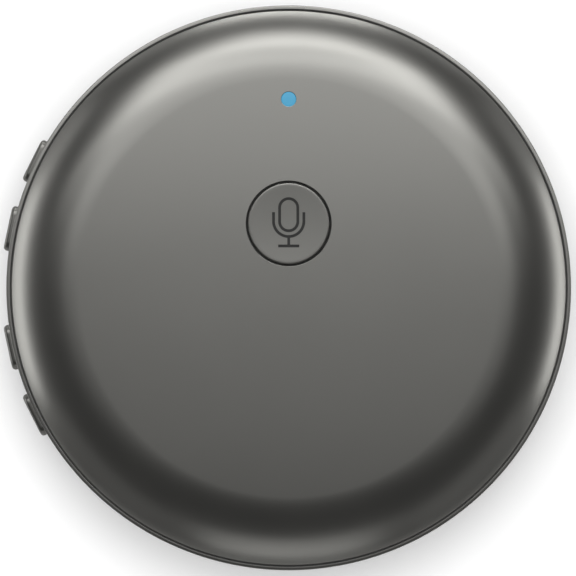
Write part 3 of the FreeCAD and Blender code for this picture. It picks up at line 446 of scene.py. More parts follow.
def new_material(name):
    """Material with one shader; gives the material, its node tree and that shader."""
    material = bpy.data.materials.new(name)
    material.use_nodes = True
    tree = material.node_tree
    tree.nodes.clear()
    output = add_node(tree, 'ShaderNodeOutputMaterial', {})
    shader = add_node(tree, 'ShaderNodeBsdfPrincipled', {})
    tree.links.new(shader.outputs['BSDF'], output.inputs['Surface'])
    return material, tree, shader


def noise(tree, scale, detail=2.0, stretch=(1, 1, 1)):
    """Noise on the piece's own coordinates; scale is in cells per metre."""
    place = add_node(tree, 'ShaderNodeTexCoord', {})
    mapping = add_node(tree, 'ShaderNodeMapping',
                       {'Scale': stretch, 'Vector': place.outputs['Object']})
    texture = add_node(tree, 'ShaderNodeTexNoise', {'Scale': scale, 'Detail': detail,
                                                    'Vector': mapping.outputs['Vector']})
    return texture.outputs['Fac']


def ranged(tree, source, low, high):
    """A value that wanders with its source from low to high."""
    scale = add_node(tree, 'ShaderNodeMapRange', {'From Min': 0.3, 'From Max': 0.7,
                                                  'To Min': low, 'To Max': high,
                                                  'Value': source})
    return scale.outputs['Result']


def mixed(tree, source, first, second):
    """Colour between two, by a source from 0 to 1."""
    mix = add_node(tree, 'ShaderNodeMix', {0: source, 6: first, 7: second})
    mix.data_type = 'RGBA'
    return mix.outputs[2]


def shaded(tree, source, tint, spread):
    """Colour that wanders a little round a tint."""
    return mixed(tree, source, [value * (1 - spread) for value in tint] + [1],
                 [min(value * (1 + spread), 1) for value in tint] + [1])


def bumped(tree, shader, source, height):
    """Relief of a given height, in metres, on a shader."""
    bump = add_node(tree, 'ShaderNodeBump', {'Distance': height, 'Strength': 1.0,
                                             'Height': source})
    tree.links.new(bump.outputs['Normal'], shader.inputs['Normal'])


def surface(name, tint, rough, metallic=0.0, grain=4000.0, depth=0.002, spread=0.05,
            wander=0.03, stretch=(1, 1, 1), specular=0.5):
    """Finish with a fine grain, a slow change of colour and a slow change of gloss."""
    material, tree, shader = new_material(name)
    slow = noise(tree, 90.0, 3.0)
    tree.links.new(shaded(tree, slow, tint, spread), shader.inputs['Base Color'])
    tree.links.new(ranged(tree, slow, rough - wander, rough + wander),
                   shader.inputs['Roughness'])
    shader.inputs['Metallic'].default_value = metallic
    shader.inputs['Specular IOR Level'].default_value = specular
    bumped(tree, shader, noise(tree, grain, 2.0, stretch), depth * MM)
    return material


def gunmetal(tint):
    return surface("Gunmetal paint", tint, 0.29, metallic=1.0, grain=9000.0, depth=0.0007,
                   spread=0.012, wander=0.012)


def rim_metal(tint):
    return surface("Rim metal", tint, 0.28, metallic=1.0, grain=9000.0, depth=0.0007,
                   spread=0.02, wander=0.02)


def key_metal(tint):
    return surface("Key metal", tint, 0.3, metallic=1.0, grain=9000.0, depth=0.0007,
                   spread=0.05, wander=0.03)


def back_plastic(tint):
    return surface("Back plastic", tint, 0.52, grain=5200.0, depth=0.012, spread=0.04)


# Settings of surface for the finishes that have no colour of their own in the panel.
FINISHES = {
    # Painted gap shade: a dark finish on walls and undersides that paints the shade in the narrow
    # gaps round the button, the lamp and the cover's edge.
    "Painted gap shade": dict(tint=(0.14, 0.139, 0.132), rough=0.6, grain=5000.0, depth=0.004),
    # Painted groove shade: a grey finish inside the mid-frame's lip that paints the shade in the
    # groove round the cover.
    "Painted groove shade": dict(tint=(0.2, 0.198, 0.19), rough=0.5, grain=5000.0, depth=0.004),
    "Symbol paint": dict(tint=(0.022, 0.022, 0.021), rough=0.5, grain=6000.0, spread=0.08),
    "Foot rubber": dict(tint=(0.02, 0.02, 0.02), rough=0.75, grain=3500.0, depth=0.01,
                        spread=0.15, wander=0.06, specular=0.35),
    "Screw steel": dict(tint=(0.30, 0.30, 0.29), rough=0.32, metallic=1.0, grain=3000.0,
                        depth=0.003, spread=0.1),
    "Port steel": dict(tint=(0.42, 0.42, 0.41), rough=0.27, metallic=1.0, grain=1500.0,
                       spread=0.06, stretch=(6, 0.6, 6)),
}


def finish(name):
    """Finish from the table."""
    return surface(name, **FINISHES[name])


def lamp_lens(tint):
    """Clear blue window, evenly lit from below."""
    material, tree, shader = new_material("Lamp lens")
    cloud = noise(tree, 1500.0)
    tree.links.new(shaded(tree, cloud, tint, 0.04), shader.inputs['Emission Color'])
    shader.inputs['Emission Strength'].default_value = 0.92
    shader.inputs['Base Color'].default_value = (0.01, 0.04, 0.07, 1)
    shader.inputs['Roughness'].default_value = 0.25
    bumped(tree, shader, cloud, 0.001 * MM)
    return material


def mesh_cloth():
    """Fine woven cloth, as two crossed waves."""
    material, tree, shader = new_material("Speaker cloth")
    place = add_node(tree, 'ShaderNodeTexCoord', {})
    crossed = add_node(tree, 'ShaderNodeMath', {})
    crossed.operation = 'MULTIPLY'
    for index, direction in enumerate(('X', 'Y')):
        wave = add_node(tree, 'ShaderNodeTexWave',
                        {'Scale': 900.0, 'Vector': place.outputs['Object']})
        wave.bands_direction = direction
        tree.links.new(wave.outputs['Fac'], crossed.inputs[index])
    weave = crossed.outputs[0]
    tree.links.new(shaded(tree, weave, (0.025, 0.025, 0.026), 0.6), shader.inputs['Base Color'])
    shader.inputs['Roughness'].default_value = 0.8
    bumped(tree, shader, weave, 0.03 * MM)
    return material


def side_level():
    """Height of the keys, the port and the sound holes."""
    low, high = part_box("usb_port_shell")
    return (low.z + high.z) / 2


def centre_of(node):
    """Middle of a node's box, seen from above."""
    low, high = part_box(node)
    return (low.x + high.x) / 2, (low.y + high.y) / 2


def ledge_level():
    """Height at which the front cover sits in the mid-frame."""
    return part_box("usb_port_shell")[1].z + LEDGE_GAP


def at_screws(make):
    """One shape from a copy at each case screw."""
    reach = bpy.context.scene.translator_back.screw_circle
    copies = []
    for quarter in range(4):
        angle = math.pi / 4 + quarter * math.pi / 2
        copies.append(make((reach * math.cos(angle), reach * math.sin(angle)), angle))
    return join("at_screws", copies)


def screw_pegs(name, radius, low, high, sides=64):
    """An upright cylinder at each case screw, as one shape."""
    return at_screws(lambda place, angle: peg(name, radius, low, high, place, sides))


def ring_wall(name, inner, outer, low, high, along):
    """Upright round wall."""
    section = [(inner, low), (outer, low), (outer, high), (inner, high)]
    return lathe(name, section, WALL_SIDES, along)


class TRANSLATOR_OT_front_cover(bpy.types.Operator):
    """Make the crowned front cover with its button and lamp holes"""
    bl_idname = "translator.front_cover"
    bl_label = "Front cover"

    def execute(self, context):
        sizes = context.scene.translator_cover
        button = context.scene.translator_button
        low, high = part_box("top_cover")
        radius, top, ledge = high.x, high.z, ledge_level()
        flat = radius - sizes.shoulder_width
        crown = (flat ** 2 + sizes.crown_drop ** 2) / (2 * sizes.crown_drop)
        flat_sine = flat / crown
        flat_cosine = math.sqrt(1 - flat_sine ** 2)
        edge_sine = flat_sine + sizes.shoulder_width / sizes.shoulder_radius
        edge_cosine = math.sqrt(1 - edge_sine ** 2)
        flat_height = top - sizes.crown_drop
        edge_height = flat_height - sizes.shoulder_radius * (flat_cosine - edge_cosine)
        inner_edge = radius - sizes.wall * edge_sine
        inner_height = edge_height - sizes.wall * edge_cosine
        inner_flat = (flat - sizes.wall * flat_sine, flat_height - sizes.wall * flat_cosine)
        shoulder = bow((flat, flat_height), (radius, edge_height), sizes.shoulder_radius,
                       RIGHT, 56)
        corners = plain([(0, top)] + bow((0, top), (flat, flat_height), crown, RIGHT, 24))
        corners += plain(shoulder[:-1])
        corners += [(radius, edge_height, sizes.edge_round), (radius, ledge, sizes.edge_round),
                    (inner_edge, ledge, 0.0), (inner_edge, inner_height, 0.0)]
        inner = bow((inner_edge, inner_height), inner_flat, sizes.shoulder_radius - sizes.wall,
                    LEFT, 16)
        inner += bow(inner_flat, (0, top - sizes.wall), crown - sizes.wall, LEFT, 10)
        cover = lathe("front_cover", soften(corners + plain(inner)), COVER_SIDES)
        talk = centre_of("talk_button")
        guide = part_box("talk_button")[1].x + sizes.guide_gap
        inside_wall = top - 0.7 * sizes.wall
        guide_wall = ring_wall("guide", guide, guide + sizes.guide_wall,
                               top - sizes.wall - sizes.guide_height, inside_wall, talk[1])
        foot, head = low.z, flat_height - 0.8 * sizes.wall
        unite(cover, [guide_wall, screw_pegs("post", sizes.post, foot, head)])
        pilots = screw_pegs("pilot", sizes.pilot, foot - sizes.wall, foot + sizes.pilot_depth,
                            BORE_SIDES)
        lamp = centre_of("status_led")
        hole = button.radius + sizes.hole_gap
        pipe = LAMP_RADIUS + sizes.lamp_gap
        below, above = top - 3 * sizes.wall, top + sizes.wall
        carve(cover, [peg("button_hole", hole, below, above, talk, BUTTON_SIDES),
                      peg("lamp_hole", pipe, below, above, lamp, LAMP_SIDES), pilots])

        def on_rim(place):
            if place.z < inside_wall:
                return False
            across, along = place.x, place.y
            return (abs(math.hypot(across - talk[0], along - talk[1]) - hole) < NEAR
                    or abs(math.hypot(across - lamp[0], along - lamp[1]) - pipe) < NEAR)

        round_rim(cover, sizes.hole_bevel, on_rim)
        shade(cover.data, RIM_SHARP)
        fit(cover, "case", "top_cover",
            gunmetal(context.scene.translator_finish.paint))
        # Walls and undersides get a dark finish: painted shade in the gaps round the button, the
        # lamp and the cover's edge.
        refinish(cover, finish("Painted gap shade"), lambda centre, normal: normal.z < 0.02)
        return {'FINISHED'}


class TRANSLATOR_OT_talk_button(bpy.types.Operator):
    """Make the dished talk button with its sunk microphone symbol"""
    bl_idname = "translator.talk_button"
    bl_label = "Talk button"

    def execute(self, context):
        sizes = context.scene.translator_button
        low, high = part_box("talk_button")
        along = (low.y + high.y) / 2
        edge = sizes.radius - sizes.edge_round
        dish_radius = (edge ** 2 + sizes.dish ** 2) / (2 * sizes.dish)
        flange_top = high.z - sizes.skirt
        flange_low = flange_top - sizes.flange
        dish = bow((0, high.z - sizes.dish), (edge, high.z), dish_radius, LEFT, 24)
        corners = plain([(0, high.z - sizes.dish)] + dish[:-1])
        corners += [(sizes.radius, high.z, sizes.edge_round),
                    (sizes.radius, flange_top, 0.0), (high.x, flange_top, 0.0),
                    (high.x, flange_low, 0.0), (sizes.stem_radius, flange_low, 0.0),
                    (sizes.stem_radius, low.z, 0.0), (0, low.z, 0.0)]
        button = lathe("talk_cap", soften(corners, 8), BUTTON_SIDES, along)
        carve(button, self.symbol(sizes, high.z, along))
        fit(button, "talk_button", "talk_button",
            gunmetal(context.scene.translator_finish.paint))
        skirt = high.z - sizes.edge_round - NEAR
        floor = high.z - sizes.dish - HAIR
        deep = floor - sizes.skirt / 2
        reach = 0.7 * sizes.radius

        def outside_symbol(centre):
            return math.hypot(centre.x, centre.y - along) > reach

        # The side walls, flange and stem get a dark finish: painted shade in the gap round the
        # button.
        refinish(button, finish("Painted gap shade"), lambda centre, normal: centre.z < skirt and (
            outside_symbol(centre) or centre.z < deep))
        refinish(button, finish("Symbol paint"), lambda centre, normal: floor > centre.z > deep
                 and not outside_symbol(centre))
        return {'FINISHED'}

    def symbol(self, sizes, top, along):
        """Cutters for the capsule, the bow under it, the stem and the foot."""
        low, high = top - sizes.dish - sizes.depth, top + sizes.dish
        half = sizes.capsule_width / 2
        reach = sizes.capsule_height / 2 - half
        rise = sizes.capsule_rise
        low_end, high_end = rise - reach, rise + reach
        capsule = [(half, low_end), (half, high_end)]
        for start, end in (((half, high_end), (0, high_end + half)),
                           ((0, high_end + half), (-half, high_end)),
                           ((-half, low_end), (0, low_end - half)),
                           ((0, low_end - half), (half, low_end))):
            if start == (-half, low_end):
                capsule.append(start)
            capsule += bow(start, end, half, LEFT, 10)
        capsule.pop()
        side = sizes.cradle_width / 2
        centre = side - sizes.cradle_bottom
        cradle = [(-side, sizes.cradle_top), (-side, centre)]
        cradle += bow((-side, centre), (0, centre - side), side, LEFT, 14)
        cradle += bow((0, centre - side), (side, centre), side, LEFT, 14)
        cradle += [(side, sizes.cradle_top)]
        stem = [(0, -sizes.cradle_bottom), (0, -sizes.foot)]
        foot = [(-sizes.foot_width / 2, -sizes.foot), (sizes.foot_width / 2, -sizes.foot)]
        cutters = [stroke("capsule", capsule, sizes.line, low, high, along, closed=True)]
        for name, path in (("cradle", cradle), ("stem", stem), ("foot", foot)):
            cutters.append(stroke(name, path, sizes.line, low, high, along))
        return cutters


class TRANSLATOR_OT_lamp(bpy.types.Operator):
    """Make the status lamp's window"""
    bl_idname = "translator.lamp"
    bl_label = "Status lamp"

    def execute(self, context):
        low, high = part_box("lamp_light_pipe")
        along = (low.y + high.y) / 2
        flange = (high.x - low.x) / 2
        flange_top = high.z - LAMP_SKIRT
        flange_low = flange_top - LAMP_FLANGE
        corners = [(0, high.z, 0.0), (LAMP_RADIUS, high.z, LAMP_ROUND),
                   (LAMP_RADIUS, flange_top, 0.0), (flange, flange_top, 0.0),
                   (flange, flange_low, 0.0), (LAMP_RADIUS, flange_low, 0.0),
                   (LAMP_RADIUS, low.z, 0.0), (0, low.z, 0.0)]
        lamp = lathe("lamp_window", soften(corners), LAMP_SIDES, along)
        fit(lamp, "case", "lamp_light_pipe",
            lamp_lens(context.scene.translator_finish.lamp))
        return {'FINISHED'}


def key_places():
    """Each side key with the direction that it faces."""
    places = []
    for joint in frame["joints"]:
        if joint["child"] in KEYS:
            inward = Vector(joint["axis"])
            places.append((joint["child"], math.atan2(-inward.y, -inward.x)))
    return places


class TRANSLATOR_OT_mid_frame(bpy.types.Operator):
    """Make the mid-frame with its key slots, port mouth and sound holes"""
    bl_idname = "translator.mid_frame"
    bl_label = "Mid-frame"

    def execute(self, context):
        sizes = context.scene.translator_frame
        low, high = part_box("mid_frame")
        ledge = ledge_level()
        radius = high.x
        inner = radius - sizes.wall
        corners = [(inner, low.z, 0.0), (radius, low.z, sizes.edge_round),
                   (radius, high.z - sizes.lip_fall, sizes.edge_round),
                   (radius - sizes.lip, high.z, sizes.lip_round),
                   (radius - sizes.lip, ledge, 0.0), (inner, ledge, 0.0)]
        ring = lathe("mid_ring", soften(corners), FRAME_SIDES)
        cover, back = context.scene.translator_cover, context.scene.translator_back
        lug_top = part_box("main_board")[0].z
        lug_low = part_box("back_cover")[1].z
        lugs = at_screws(lambda place, angle: unite(
            rounded_bar("lug", back.screw_circle, inner + sizes.wall / 3, 2 * cover.post,
                        lug_top - lug_low, (lug_low + lug_top) / 2, angle, corner=LUG_ROUND),
            [peg("lug_end", cover.post, lug_low, lug_top, place)]))
        unite(ring, [lugs])
        bores = screw_pegs("bore", back.bore, lug_low - sizes.wall, lug_top + sizes.wall,
                           BORE_SIDES)
        level = side_level()
        within, beyond = 0.8 * radius, 1.2 * radius
        gap = sizes.key_gap
        cutters = []
        for name, angle in key_places():
            cutters.append(rounded_bar(name + "_slot", within, beyond,
                                       sizes.key_length + 2 * gap, sizes.key_width + 2 * gap,
                                       level, angle))
        shell_low, shell_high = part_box("usb_port_shell")
        gap = sizes.port_gap
        cutters.append(rounded_bar("port_slot", within, beyond,
                                   shell_high.x - shell_low.x + 2 * gap,
                                   shell_high.z - shell_low.z + 2 * gap, level, -math.pi / 2))
        for name in ("microphone_boot_upper", "microphone_boot_lower"):
            boot_low, boot_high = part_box(name)
            middle = (boot_low + boot_high) / 2
            cutters.append(rounded_bar(name + "_hole", within, beyond,
                                       2 * sizes.sound_hole, 2 * sizes.sound_hole, level,
                                       math.atan2(middle.y, middle.x)))
        carve(ring, cutters + [bores])
        fit(ring, "case", "mid_frame",
            rim_metal(context.scene.translator_finish.rim))
        groove_shade_edge = radius - sizes.lip + sizes.lip_round
        # Faces inside the lip get a grey finish: painted shade in the groove round the cover.
        refinish(ring, finish("Painted groove shade"),
                 lambda centre, normal: math.hypot(*centre.xy) < groove_shade_edge)
        return {'FINISHED'}


class TRANSLATOR_OT_side_keys(bpy.types.Operator):
    """Make the four side keys with their flanges"""
    bl_idname = "translator.side_keys"
    bl_label = "Side keys"

    def execute(self, context):
        sizes = context.scene.translator_frame
        metal = key_metal(context.scene.translator_finish.key)
        level = side_level()
        for name, angle in key_places():
            outward = Vector((math.cos(angle), math.sin(angle), 0))
            reaches = [outward.dot(vert.co) for vert in frame["nodes"][name].data.vertices]
            near, far = min(reaches), max(reaches)
            behind = near + KEY_STEM
            flange = behind + sizes.key_flange
            low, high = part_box(name)
            margin = (high.z - low.z) - sizes.key_width
            cap = rounded_bar(name + "_cap", flange - WELD, far, sizes.key_length,
                              sizes.key_width, level, angle, front_round=sizes.key_round)
            back = rounded_bar(name + "_flange", behind, flange, sizes.key_length + margin,
                               sizes.key_width + margin, level, angle, corner=KEY_FLANGE_ROUND)
            stem = rounded_bar(name + "_stem", near, behind + WELD, KEY_STEM_WIDTH,
                               KEY_STEM_HEIGHT, level, angle, corner=KEY_STEM_ROUND)
            key = unite(cap, [back, stem])
            key.name = name + "_top"
            fit(key, name, name, metal)
        return {'FINISHED'}


class TRANSLATOR_OT_back_cover(bpy.types.Operator):
    """Make the back cover with its speaker holes and screw sinks"""
    bl_idname = "translator.back_cover"
    bl_label = "Back cover"

    def execute(self, context):
        sizes = context.scene.translator_back
        low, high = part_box("back_cover")
        frame_low, frame_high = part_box("mid_frame")
        foot_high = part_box("foot_ring")[1]
        radius, base, parting = high.x, low.z, frame_low.z
        flat = radius - sizes.curve_width
        rim = parting - sizes.parting_groove
        seat = frame_high.x - sizes.parting_depth
        lip = frame_high.x - context.scene.translator_frame.wall - sizes.lip_gap
        lip_inner, lip_top = lip - sizes.lip_width, parting + sizes.lip_height
        floor = base + sizes.wall
        foot_out = foot_high.x + sizes.foot_gap
        foot_in = foot_high.x - sizes.foot_width - sizes.foot_gap
        bend = (sizes.curve_width ** 2 + (rim - base) ** 2) / (2 * (rim - base))
        small = sizes.edge_round
        corners = [(0, base, 0.0), (foot_in, base, small), (foot_in, foot_high.z, 0.0),
                   (foot_out, foot_high.z, 0.0), (foot_out, base, small), (flat, base, 0.0)]
        corners += plain(bow((flat, base), (radius, rim), bend, LEFT, 32)[:-1])
        corners += [(radius, rim, small), (seat, rim, 0.0), (seat, parting, 0.0),
                    (lip, parting, 0.0), (lip, lip_top, small),
                    (lip_inner, lip_top, small), (lip_inner, rim, 0.0)]
        start = (lip_inner, rim)
        end = (flat - sizes.floor_step, floor)
        inner_bend = ((start[0] - end[0]) ** 2 + (rim - floor) ** 2) / (2 * (rim - floor))
        corners += plain(bow(start, end, inner_bend, RIGHT, 8) + [(0, floor)])
        back = lathe("back_shell", soften(corners), COVER_SIDES)
        rooted = floor - sizes.wall / 3
        posts = screw_pegs("post", context.scene.translator_cover.post, rooted, high.z)
        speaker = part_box("speaker_frame")[1].x + sizes.rib_gap
        rib = ring_wall("rib", speaker, speaker + sizes.rib, rooted, floor + sizes.rib_height,
                        centre_of("speaker_frame")[1])
        unite(back, [posts, rib])
        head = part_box("case_screws")[0].z + sizes.head_height
        sink = sizes.head_radius + sizes.screw_gap
        sinks = screw_pegs("sink", sink, base - sizes.wall, head)
        bores = screw_pegs("bore", sizes.bore, base, high.z + sizes.wall, BORE_SIDES)
        carve(back, [self.grille(sizes, base), sinks, bores])
        fit(back, "case", "back_cover",
            back_plastic(context.scene.translator_finish.back))
        return {'FINISHED'}

    def grille(self, sizes, base):
        """One cutter of all the speaker's holes, each with a small bevel at the face."""
        along = centre_of("speaker_frame")[1]
        top = base + 1.5 * sizes.wall
        bevel = 0.25 * sizes.hole_radius
        section = [(0, base - 2 * bevel), (sizes.hole_radius + 3 * bevel, base - 2 * bevel),
                   (sizes.hole_radius, base + bevel), (sizes.hole_radius, top), (0, top)]
        holes = []
        for ring in range(sizes.hole_rings + 1):
            count = max(6 * ring, 1)
            for index in range(count):
                angle = FULL_TURN * index / count
                hole = lathe("hole", section, HOLE_SIDES)
                reach = ring * sizes.hole_pitch
                hole.data.transform(Matrix.Translation(
                    (reach * math.cos(angle), along + reach * math.sin(angle), 0)))
                holes.append(hole)
        return join("grille", holes)


class TRANSLATOR_OT_foot_ring(bpy.types.Operator):
    """Make the rubber foot ring"""
    bl_idname = "translator.foot_ring"
    bl_label = "Foot ring"

    def execute(self, context):
        sizes = context.scene.translator_back
        low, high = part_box("foot_ring")
        inner = high.x - sizes.foot_width
        corners = [(inner, low.z, FOOT_ROUND), (high.x, low.z, FOOT_ROUND),
                   (high.x, high.z, 0.0), (inner, high.z, 0.0)]
        foot = lathe("foot_band", soften(corners), FOOT_SIDES)
        fit(foot, "case", "foot_ring", finish("Foot rubber"))
        return {'FINISHED'}


class TRANSLATOR_OT_screws(bpy.types.Operator):
    """Make the four case screws with their hexagon sockets"""
    bl_idname = "translator.screws"
    bl_label = "Case screws"

    def execute(self, context):
        sizes = context.scene.translator_back
        low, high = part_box("case_screws")
        seat = low.z + sizes.head_height
        corners = [(0, low.z, 0.0), (sizes.head_radius, low.z, HEAD_ROUND),
                   (sizes.head_radius, seat, 0.0), (sizes.shank_radius, seat, 0.0),
                   (sizes.shank_radius, high.z, TIP_ROUND), (0, high.z, 0.0)]

        def one_screw(place, angle):
            screw = lathe("screw", soften(corners), SCREW_SIDES)
            socket = peg("socket", sizes.socket_radius, low.z - sizes.socket_depth,
                         low.z + sizes.socket_depth, sides=6)
            carve(screw, [socket])
            screw.data.transform(Matrix.Rotation(angle, 4, 'Z')
                                 @ Matrix.Translation((sizes.screw_circle, 0, 0)))
            return screw

        screws = at_screws(one_screw)
        screws.name = "screw_set"
        fit(screws, "case", "case_screws", finish("Screw steel"))
        return {'FINISHED'}


class TRANSLATOR_OT_port(bpy.types.Operator):
    """Make the charging port's drawn shell"""
    bl_idname = "translator.port"
    bl_label = "Charging port"

    def execute(self, context):
        sizes = context.scene.translator_frame
        low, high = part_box("usb_port_shell")
        near, far = -high.y, -low.y
        width, height = high.x - low.x, high.z - low.z
        level = side_level()
        shell = rounded_bar("port_tube", near, far, width, height, level, -math.pi / 2,
                            front_round=PORT_ROUND)
        wall = sizes.port_wall
        mouth = rounded_bar("port_hollow", near + wall, far + width, width - 2 * wall,
                            height - 2 * wall, level, -math.pi / 2)
        carve(shell, [mouth])
        fit(shell, "case", "usb_port_shell", finish("Port steel"))
        return {'FINISHED'}


def inner_finishes():
    """Finish of each kind of part inside the case, with the nodes that have it."""
    chip = surface("Chip plastic", (0.012, 0.012, 0.013), 0.5, grain=6000.0, depth=0.004)
    sheet_steel = surface("Sheet steel", (0.5, 0.5, 0.49), 0.33, metallic=1.0, grain=1800.0,
                          depth=0.002, stretch=(1, 8, 1))
    nylon = surface("Nylon", (0.75, 0.71, 0.6), 0.45, grain=4000.0, depth=0.003)
    foam = surface("Foam", (0.03, 0.03, 0.031), 0.95, grain=2500.0, depth=0.05, spread=0.3)
    switches = [key + "_switch_body" for key in KEYS]
    plungers = [key + "_switch_plunger" for key in KEYS]
    microphones = ["microphone_upper", "microphone_lower"]
    boots = ["microphone_boot_upper", "microphone_boot_lower"]
    return (
        (chip, ["board_chips", "talk_switch_body", "usb_port_tongue"] + switches),
        (sheet_steel, ["processor_can", "radio_module", "speaker_frame"] + microphones),
        (nylon, ["battery_plug", "battery_socket", "talk_switch_plunger"] + plungers),
        (foam, ["light_shield", "battery_pad", "speaker_gasket"] + boots),
        (surface("Board laminate", (0.014, 0.07, 0.035), 0.35, grain=700.0, depth=0.01,
                 spread=0.2), ["main_board"]),
        (surface("Antenna ceramic", (0.7, 0.68, 0.6), 0.4, grain=3000.0, depth=0.003),
         ["antenna"]),
        (surface("Battery foil", (0.55, 0.56, 0.56), 0.35, metallic=0.9, grain=600.0,
                 depth=0.03, spread=0.08), ["battery_cell"]),
        (surface("Red insulation", (0.33, 0.03, 0.02), 0.5, grain=2000.0, depth=0.004),
         ["battery_leads", "speaker_leads"]),
        (surface("Cone film", (0.025, 0.025, 0.027), 0.4, grain=900.0, depth=0.01),
         ["speaker_cone"]),
        (surface("Plated magnet", (0.4, 0.4, 0.39), 0.22, metallic=1.0, grain=2000.0,
                 depth=0.001), ["speaker_magnet"]),
        (surface("Lamp resin", (0.85, 0.78, 0.5), 0.25, grain=3000.0, depth=0.001),
         ["status_led"]),
        (mesh_cloth(), ["speaker_mesh"]),
    )


class TRANSLATOR_OT_inner_parts(bpy.types.Operator):
    """Give each part inside the case its finish"""
    bl_idname = "translator.inner_parts"
    bl_label = "Inner parts"

    def execute(self, context):
        for material, names in inner_finishes():
            for name in names:
                node = frame["nodes"][name]
                node.data.materials.clear()
                node.data.materials.append(material)
        return {'FINISHED'}


# Each panel of light: name, compass direction from +X, angle from the zenith, width
# and height, all in degrees as seen from the device, and its level.
PANELS = (
    ("Overhead", 90, 0, 24, 24, 0.25),
    ("Overhead right", 0, 20, 30, 16, 0.17),
    ("Overhead left", 180, 20, 30, 16, 0.11),
    ("Softbox near", 90, 19, 56, 24, 0.72),
    ("Softbox inner", 90, 34, 56, 10, 1.38),
    ("Softbox middle", 90, 43, 56, 9, 0.72),
    ("Softbox outer", 90, 51, 56, 8, 1.54),
    ("Softbox edge", 90, 59, 56, 8, 0.25),
    ("Softbox core", 90, 55, 26, 16, 1.2),
    ("Right wing near", 45, 28, 34, 24, 0.13),
    ("Left wing near", 135, 28, 34, 24, 0.11),
    ("Right wing far", 45, 43, 34, 10, 0.73),
    ("Left wing far", 135, 43, 34, 10, 0.59),
    ("Right wing core", 62, 50, 20, 10, 0.88),
    ("Left wing core", 118, 50, 20, 10, 0.53),
    ("Right strip", 0, 83, 44, 6, 3.2),
    ("Right strip rim", 0, 77, 44, 6, 0.35),
    ("Left strip", 180, 80, 44, 12, 2.05),
    ("Right corner", 32, 78, 20, 14, 0.28),
    ("Left corner", 148, 78, 20, 14, 0.46),
    ("Far strip", 90, 89, 36, 5, 5.6),
    ("Far strip right", 60, 86, 20, 8, 0.3),
    ("Far strip left", 120, 86, 20, 8, 0.3),
    ("Near strip", 270, 76, 34, 7, 0.65),
    ("Near strip edge", 270, 66, 34, 15, 0.42),
    ("Near right strip", 315, 70, 34, 20, 0.12),
    ("Near left strip", 225, 70, 34, 20, 0.09),
)


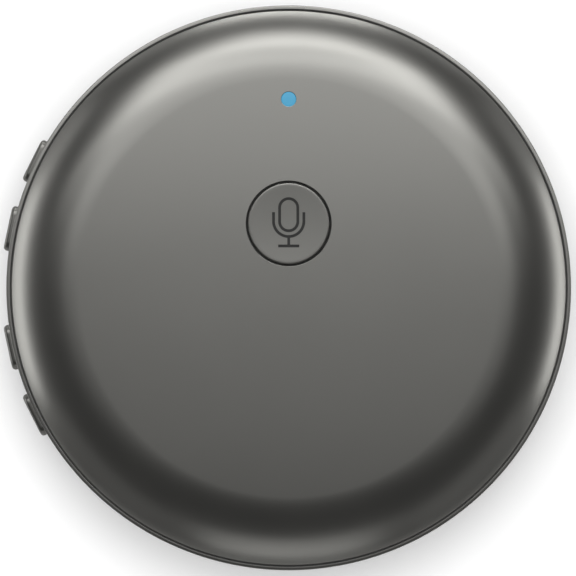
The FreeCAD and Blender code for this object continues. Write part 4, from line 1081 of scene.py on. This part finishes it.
class TRANSLATOR_OT_studio(bpy.types.Operator):
    """Set up the floor, the light panels, the room and the camera"""
    bl_idname = "translator.studio"
    bl_label = "Studio"

    def execute(self, context):
        settings = context.scene.translator_studio
        self.floor(context)
        for panel in PANELS:
            self.light_panel(context, *panel)
        self.room(context, settings)
        self.camera(context, settings)
        context.scene.view_settings.view_transform = 'Standard'
        return {'FINISHED'}

    def floor(self, context):
        """Pale paper a hair under the device, darker in reflections."""
        shape = bmesh.new()
        bmesh.ops.create_grid(shape, x_segments=1, y_segments=1, size=FLOOR_REACH)
        bmesh.ops.translate(shape, verts=shape.verts, vec=(0, 0, -HAIR))
        floor = new_piece("floor", shape)
        material = surface("Floor paper", context.scene.translator_finish.floor, 0.9,
                           grain=300.0, depth=0.01, spread=0.01, specular=0.1)
        tree = material.node_tree
        paper = tree.nodes['Principled BSDF'].inputs['Base Color']
        path = add_node(tree, 'ShaderNodeLightPath', {})
        low = context.scene.translator_studio.low
        tree.links.new(mixed(tree, path.outputs['Is Glossy Ray'], paper.links[0].from_socket,
                             (low, low, low, 1)), paper)
        floor.data.materials.append(material)

    def light_panel(self, context, name, compass, zenith, wide, high, level):
        """Area light that faces the device, with the same level all over."""
        distance = context.scene.translator_studio.distance
        data = bpy.data.lights.new(name, 'AREA')
        data.shape = 'RECTANGLE'
        data.size = 2 * distance * math.tan(math.radians(wide) / 2)
        data.size_y = 2 * distance * math.tan(math.radians(high) / 2)
        data.energy = math.pi * data.size * data.size_y * level
        panel = bpy.data.objects.new(name, data)
        around, down = math.radians(compass), math.radians(zenith)
        toward = Vector((math.sin(down) * math.cos(around), math.sin(down) * math.sin(around),
                         math.cos(down)))
        middle = Vector((0, 0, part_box("mid_frame")[1].z))
        panel.location = middle + toward * distance
        panel.rotation_euler = toward.to_track_quat('Z', 'Y').to_euler()
        panel.visible_camera = False
        context.scene.collection.objects.link(panel)

    def room(self, context, settings):
        """Pale to the camera and on matt surfaces, dark in reflections."""
        world = bpy.data.worlds.new("Room")
        world.use_nodes = True
        tree = world.node_tree
        background = tree.nodes['Background'].inputs
        background['Color'].default_value = (1, 1, 1, 1)
        path = add_node(tree, 'ShaderNodeLightPath', {})
        fill = add_node(tree, 'ShaderNodeMix', {0: path.outputs['Is Glossy Ray'],
                                                2: settings.fill, 3: settings.dim})
        seen = add_node(tree, 'ShaderNodeMix', {0: path.outputs['Is Camera Ray'],
                                                2: fill.outputs[0], 3: BACKDROP})
        tree.links.new(seen.outputs[0], background['Strength'])
        context.scene.world = world

    def camera(self, context, settings):
        """Straight above, framed as the photograph is."""
        data = bpy.data.cameras.new("Camera")
        data.lens = settings.lens
        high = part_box("mid_frame")[1]
        scale = high.x / SILHOUETTE_RADIUS
        half_view = scale * PHOTO_SIDE / 2
        camera = bpy.data.objects.new("Camera", data)
        across = (PHOTO_SIDE / 2 - SILHOUETTE_CENTRE[0]) * scale
        along = (SILHOUETTE_CENTRE[1] - PHOTO_SIDE / 2) * scale
        distance = half_view * data.lens / (data.sensor_width / 2)
        camera.location = (across, along, high.z + distance)
        context.scene.collection.objects.link(camera)
        context.scene.camera = camera


GROUPS = (
    ("translator_cover", CoverSizes),
    ("translator_button", ButtonSizes),
    ("translator_frame", FrameSizes),
    ("translator_back", BackSizes),
    ("translator_finish", Finishes),
    ("translator_studio", Studio),
)
STEPS = (
    TRANSLATOR_OT_front_cover,
    TRANSLATOR_OT_talk_button,
    TRANSLATOR_OT_lamp,
    TRANSLATOR_OT_mid_frame,
    TRANSLATOR_OT_side_keys,
    TRANSLATOR_OT_back_cover,
    TRANSLATOR_OT_foot_ring,
    TRANSLATOR_OT_screws,
    TRANSLATOR_OT_port,
    TRANSLATOR_OT_inner_parts,
    TRANSLATOR_OT_studio,
)


class TRANSLATOR_PT_panel(bpy.types.Panel):
    """Steps and sizes of the handheld translator"""
    bl_idname = "TRANSLATOR_PT_panel"
    bl_label = "Handheld translator"
    bl_space_type = 'VIEW_3D'
    bl_region_type = 'UI'
    bl_category = "Translator"

    def draw(self, context):
        for name, group in GROUPS:
            box = self.layout.box()
            box.label(text=group.__doc__)
            for setting in group.__annotations__:
                box.prop(getattr(context.scene, name), setting)
        for step in STEPS:
            self.layout.operator(step.bl_idname)


def register():
    for name, group in GROUPS:
        bpy.utils.register_class(group)
        setattr(bpy.types.Scene, name, PointerProperty(type=group))
    for step in STEPS:
        bpy.utils.register_class(step)
    bpy.utils.register_class(TRANSLATOR_PT_panel)


def unregister():
    bpy.utils.unregister_class(TRANSLATOR_PT_panel)
    for step in reversed(STEPS):
        bpy.utils.unregister_class(step)
    for name, group in reversed(GROUPS):
        delattr(bpy.types.Scene, name)
        bpy.utils.unregister_class(group)


def main():
    register()
    for step in STEPS:
        group, name = step.bl_idname.split(".")
        getattr(getattr(bpy.ops, group), name)()


if __name__ == "__main__":
    main()
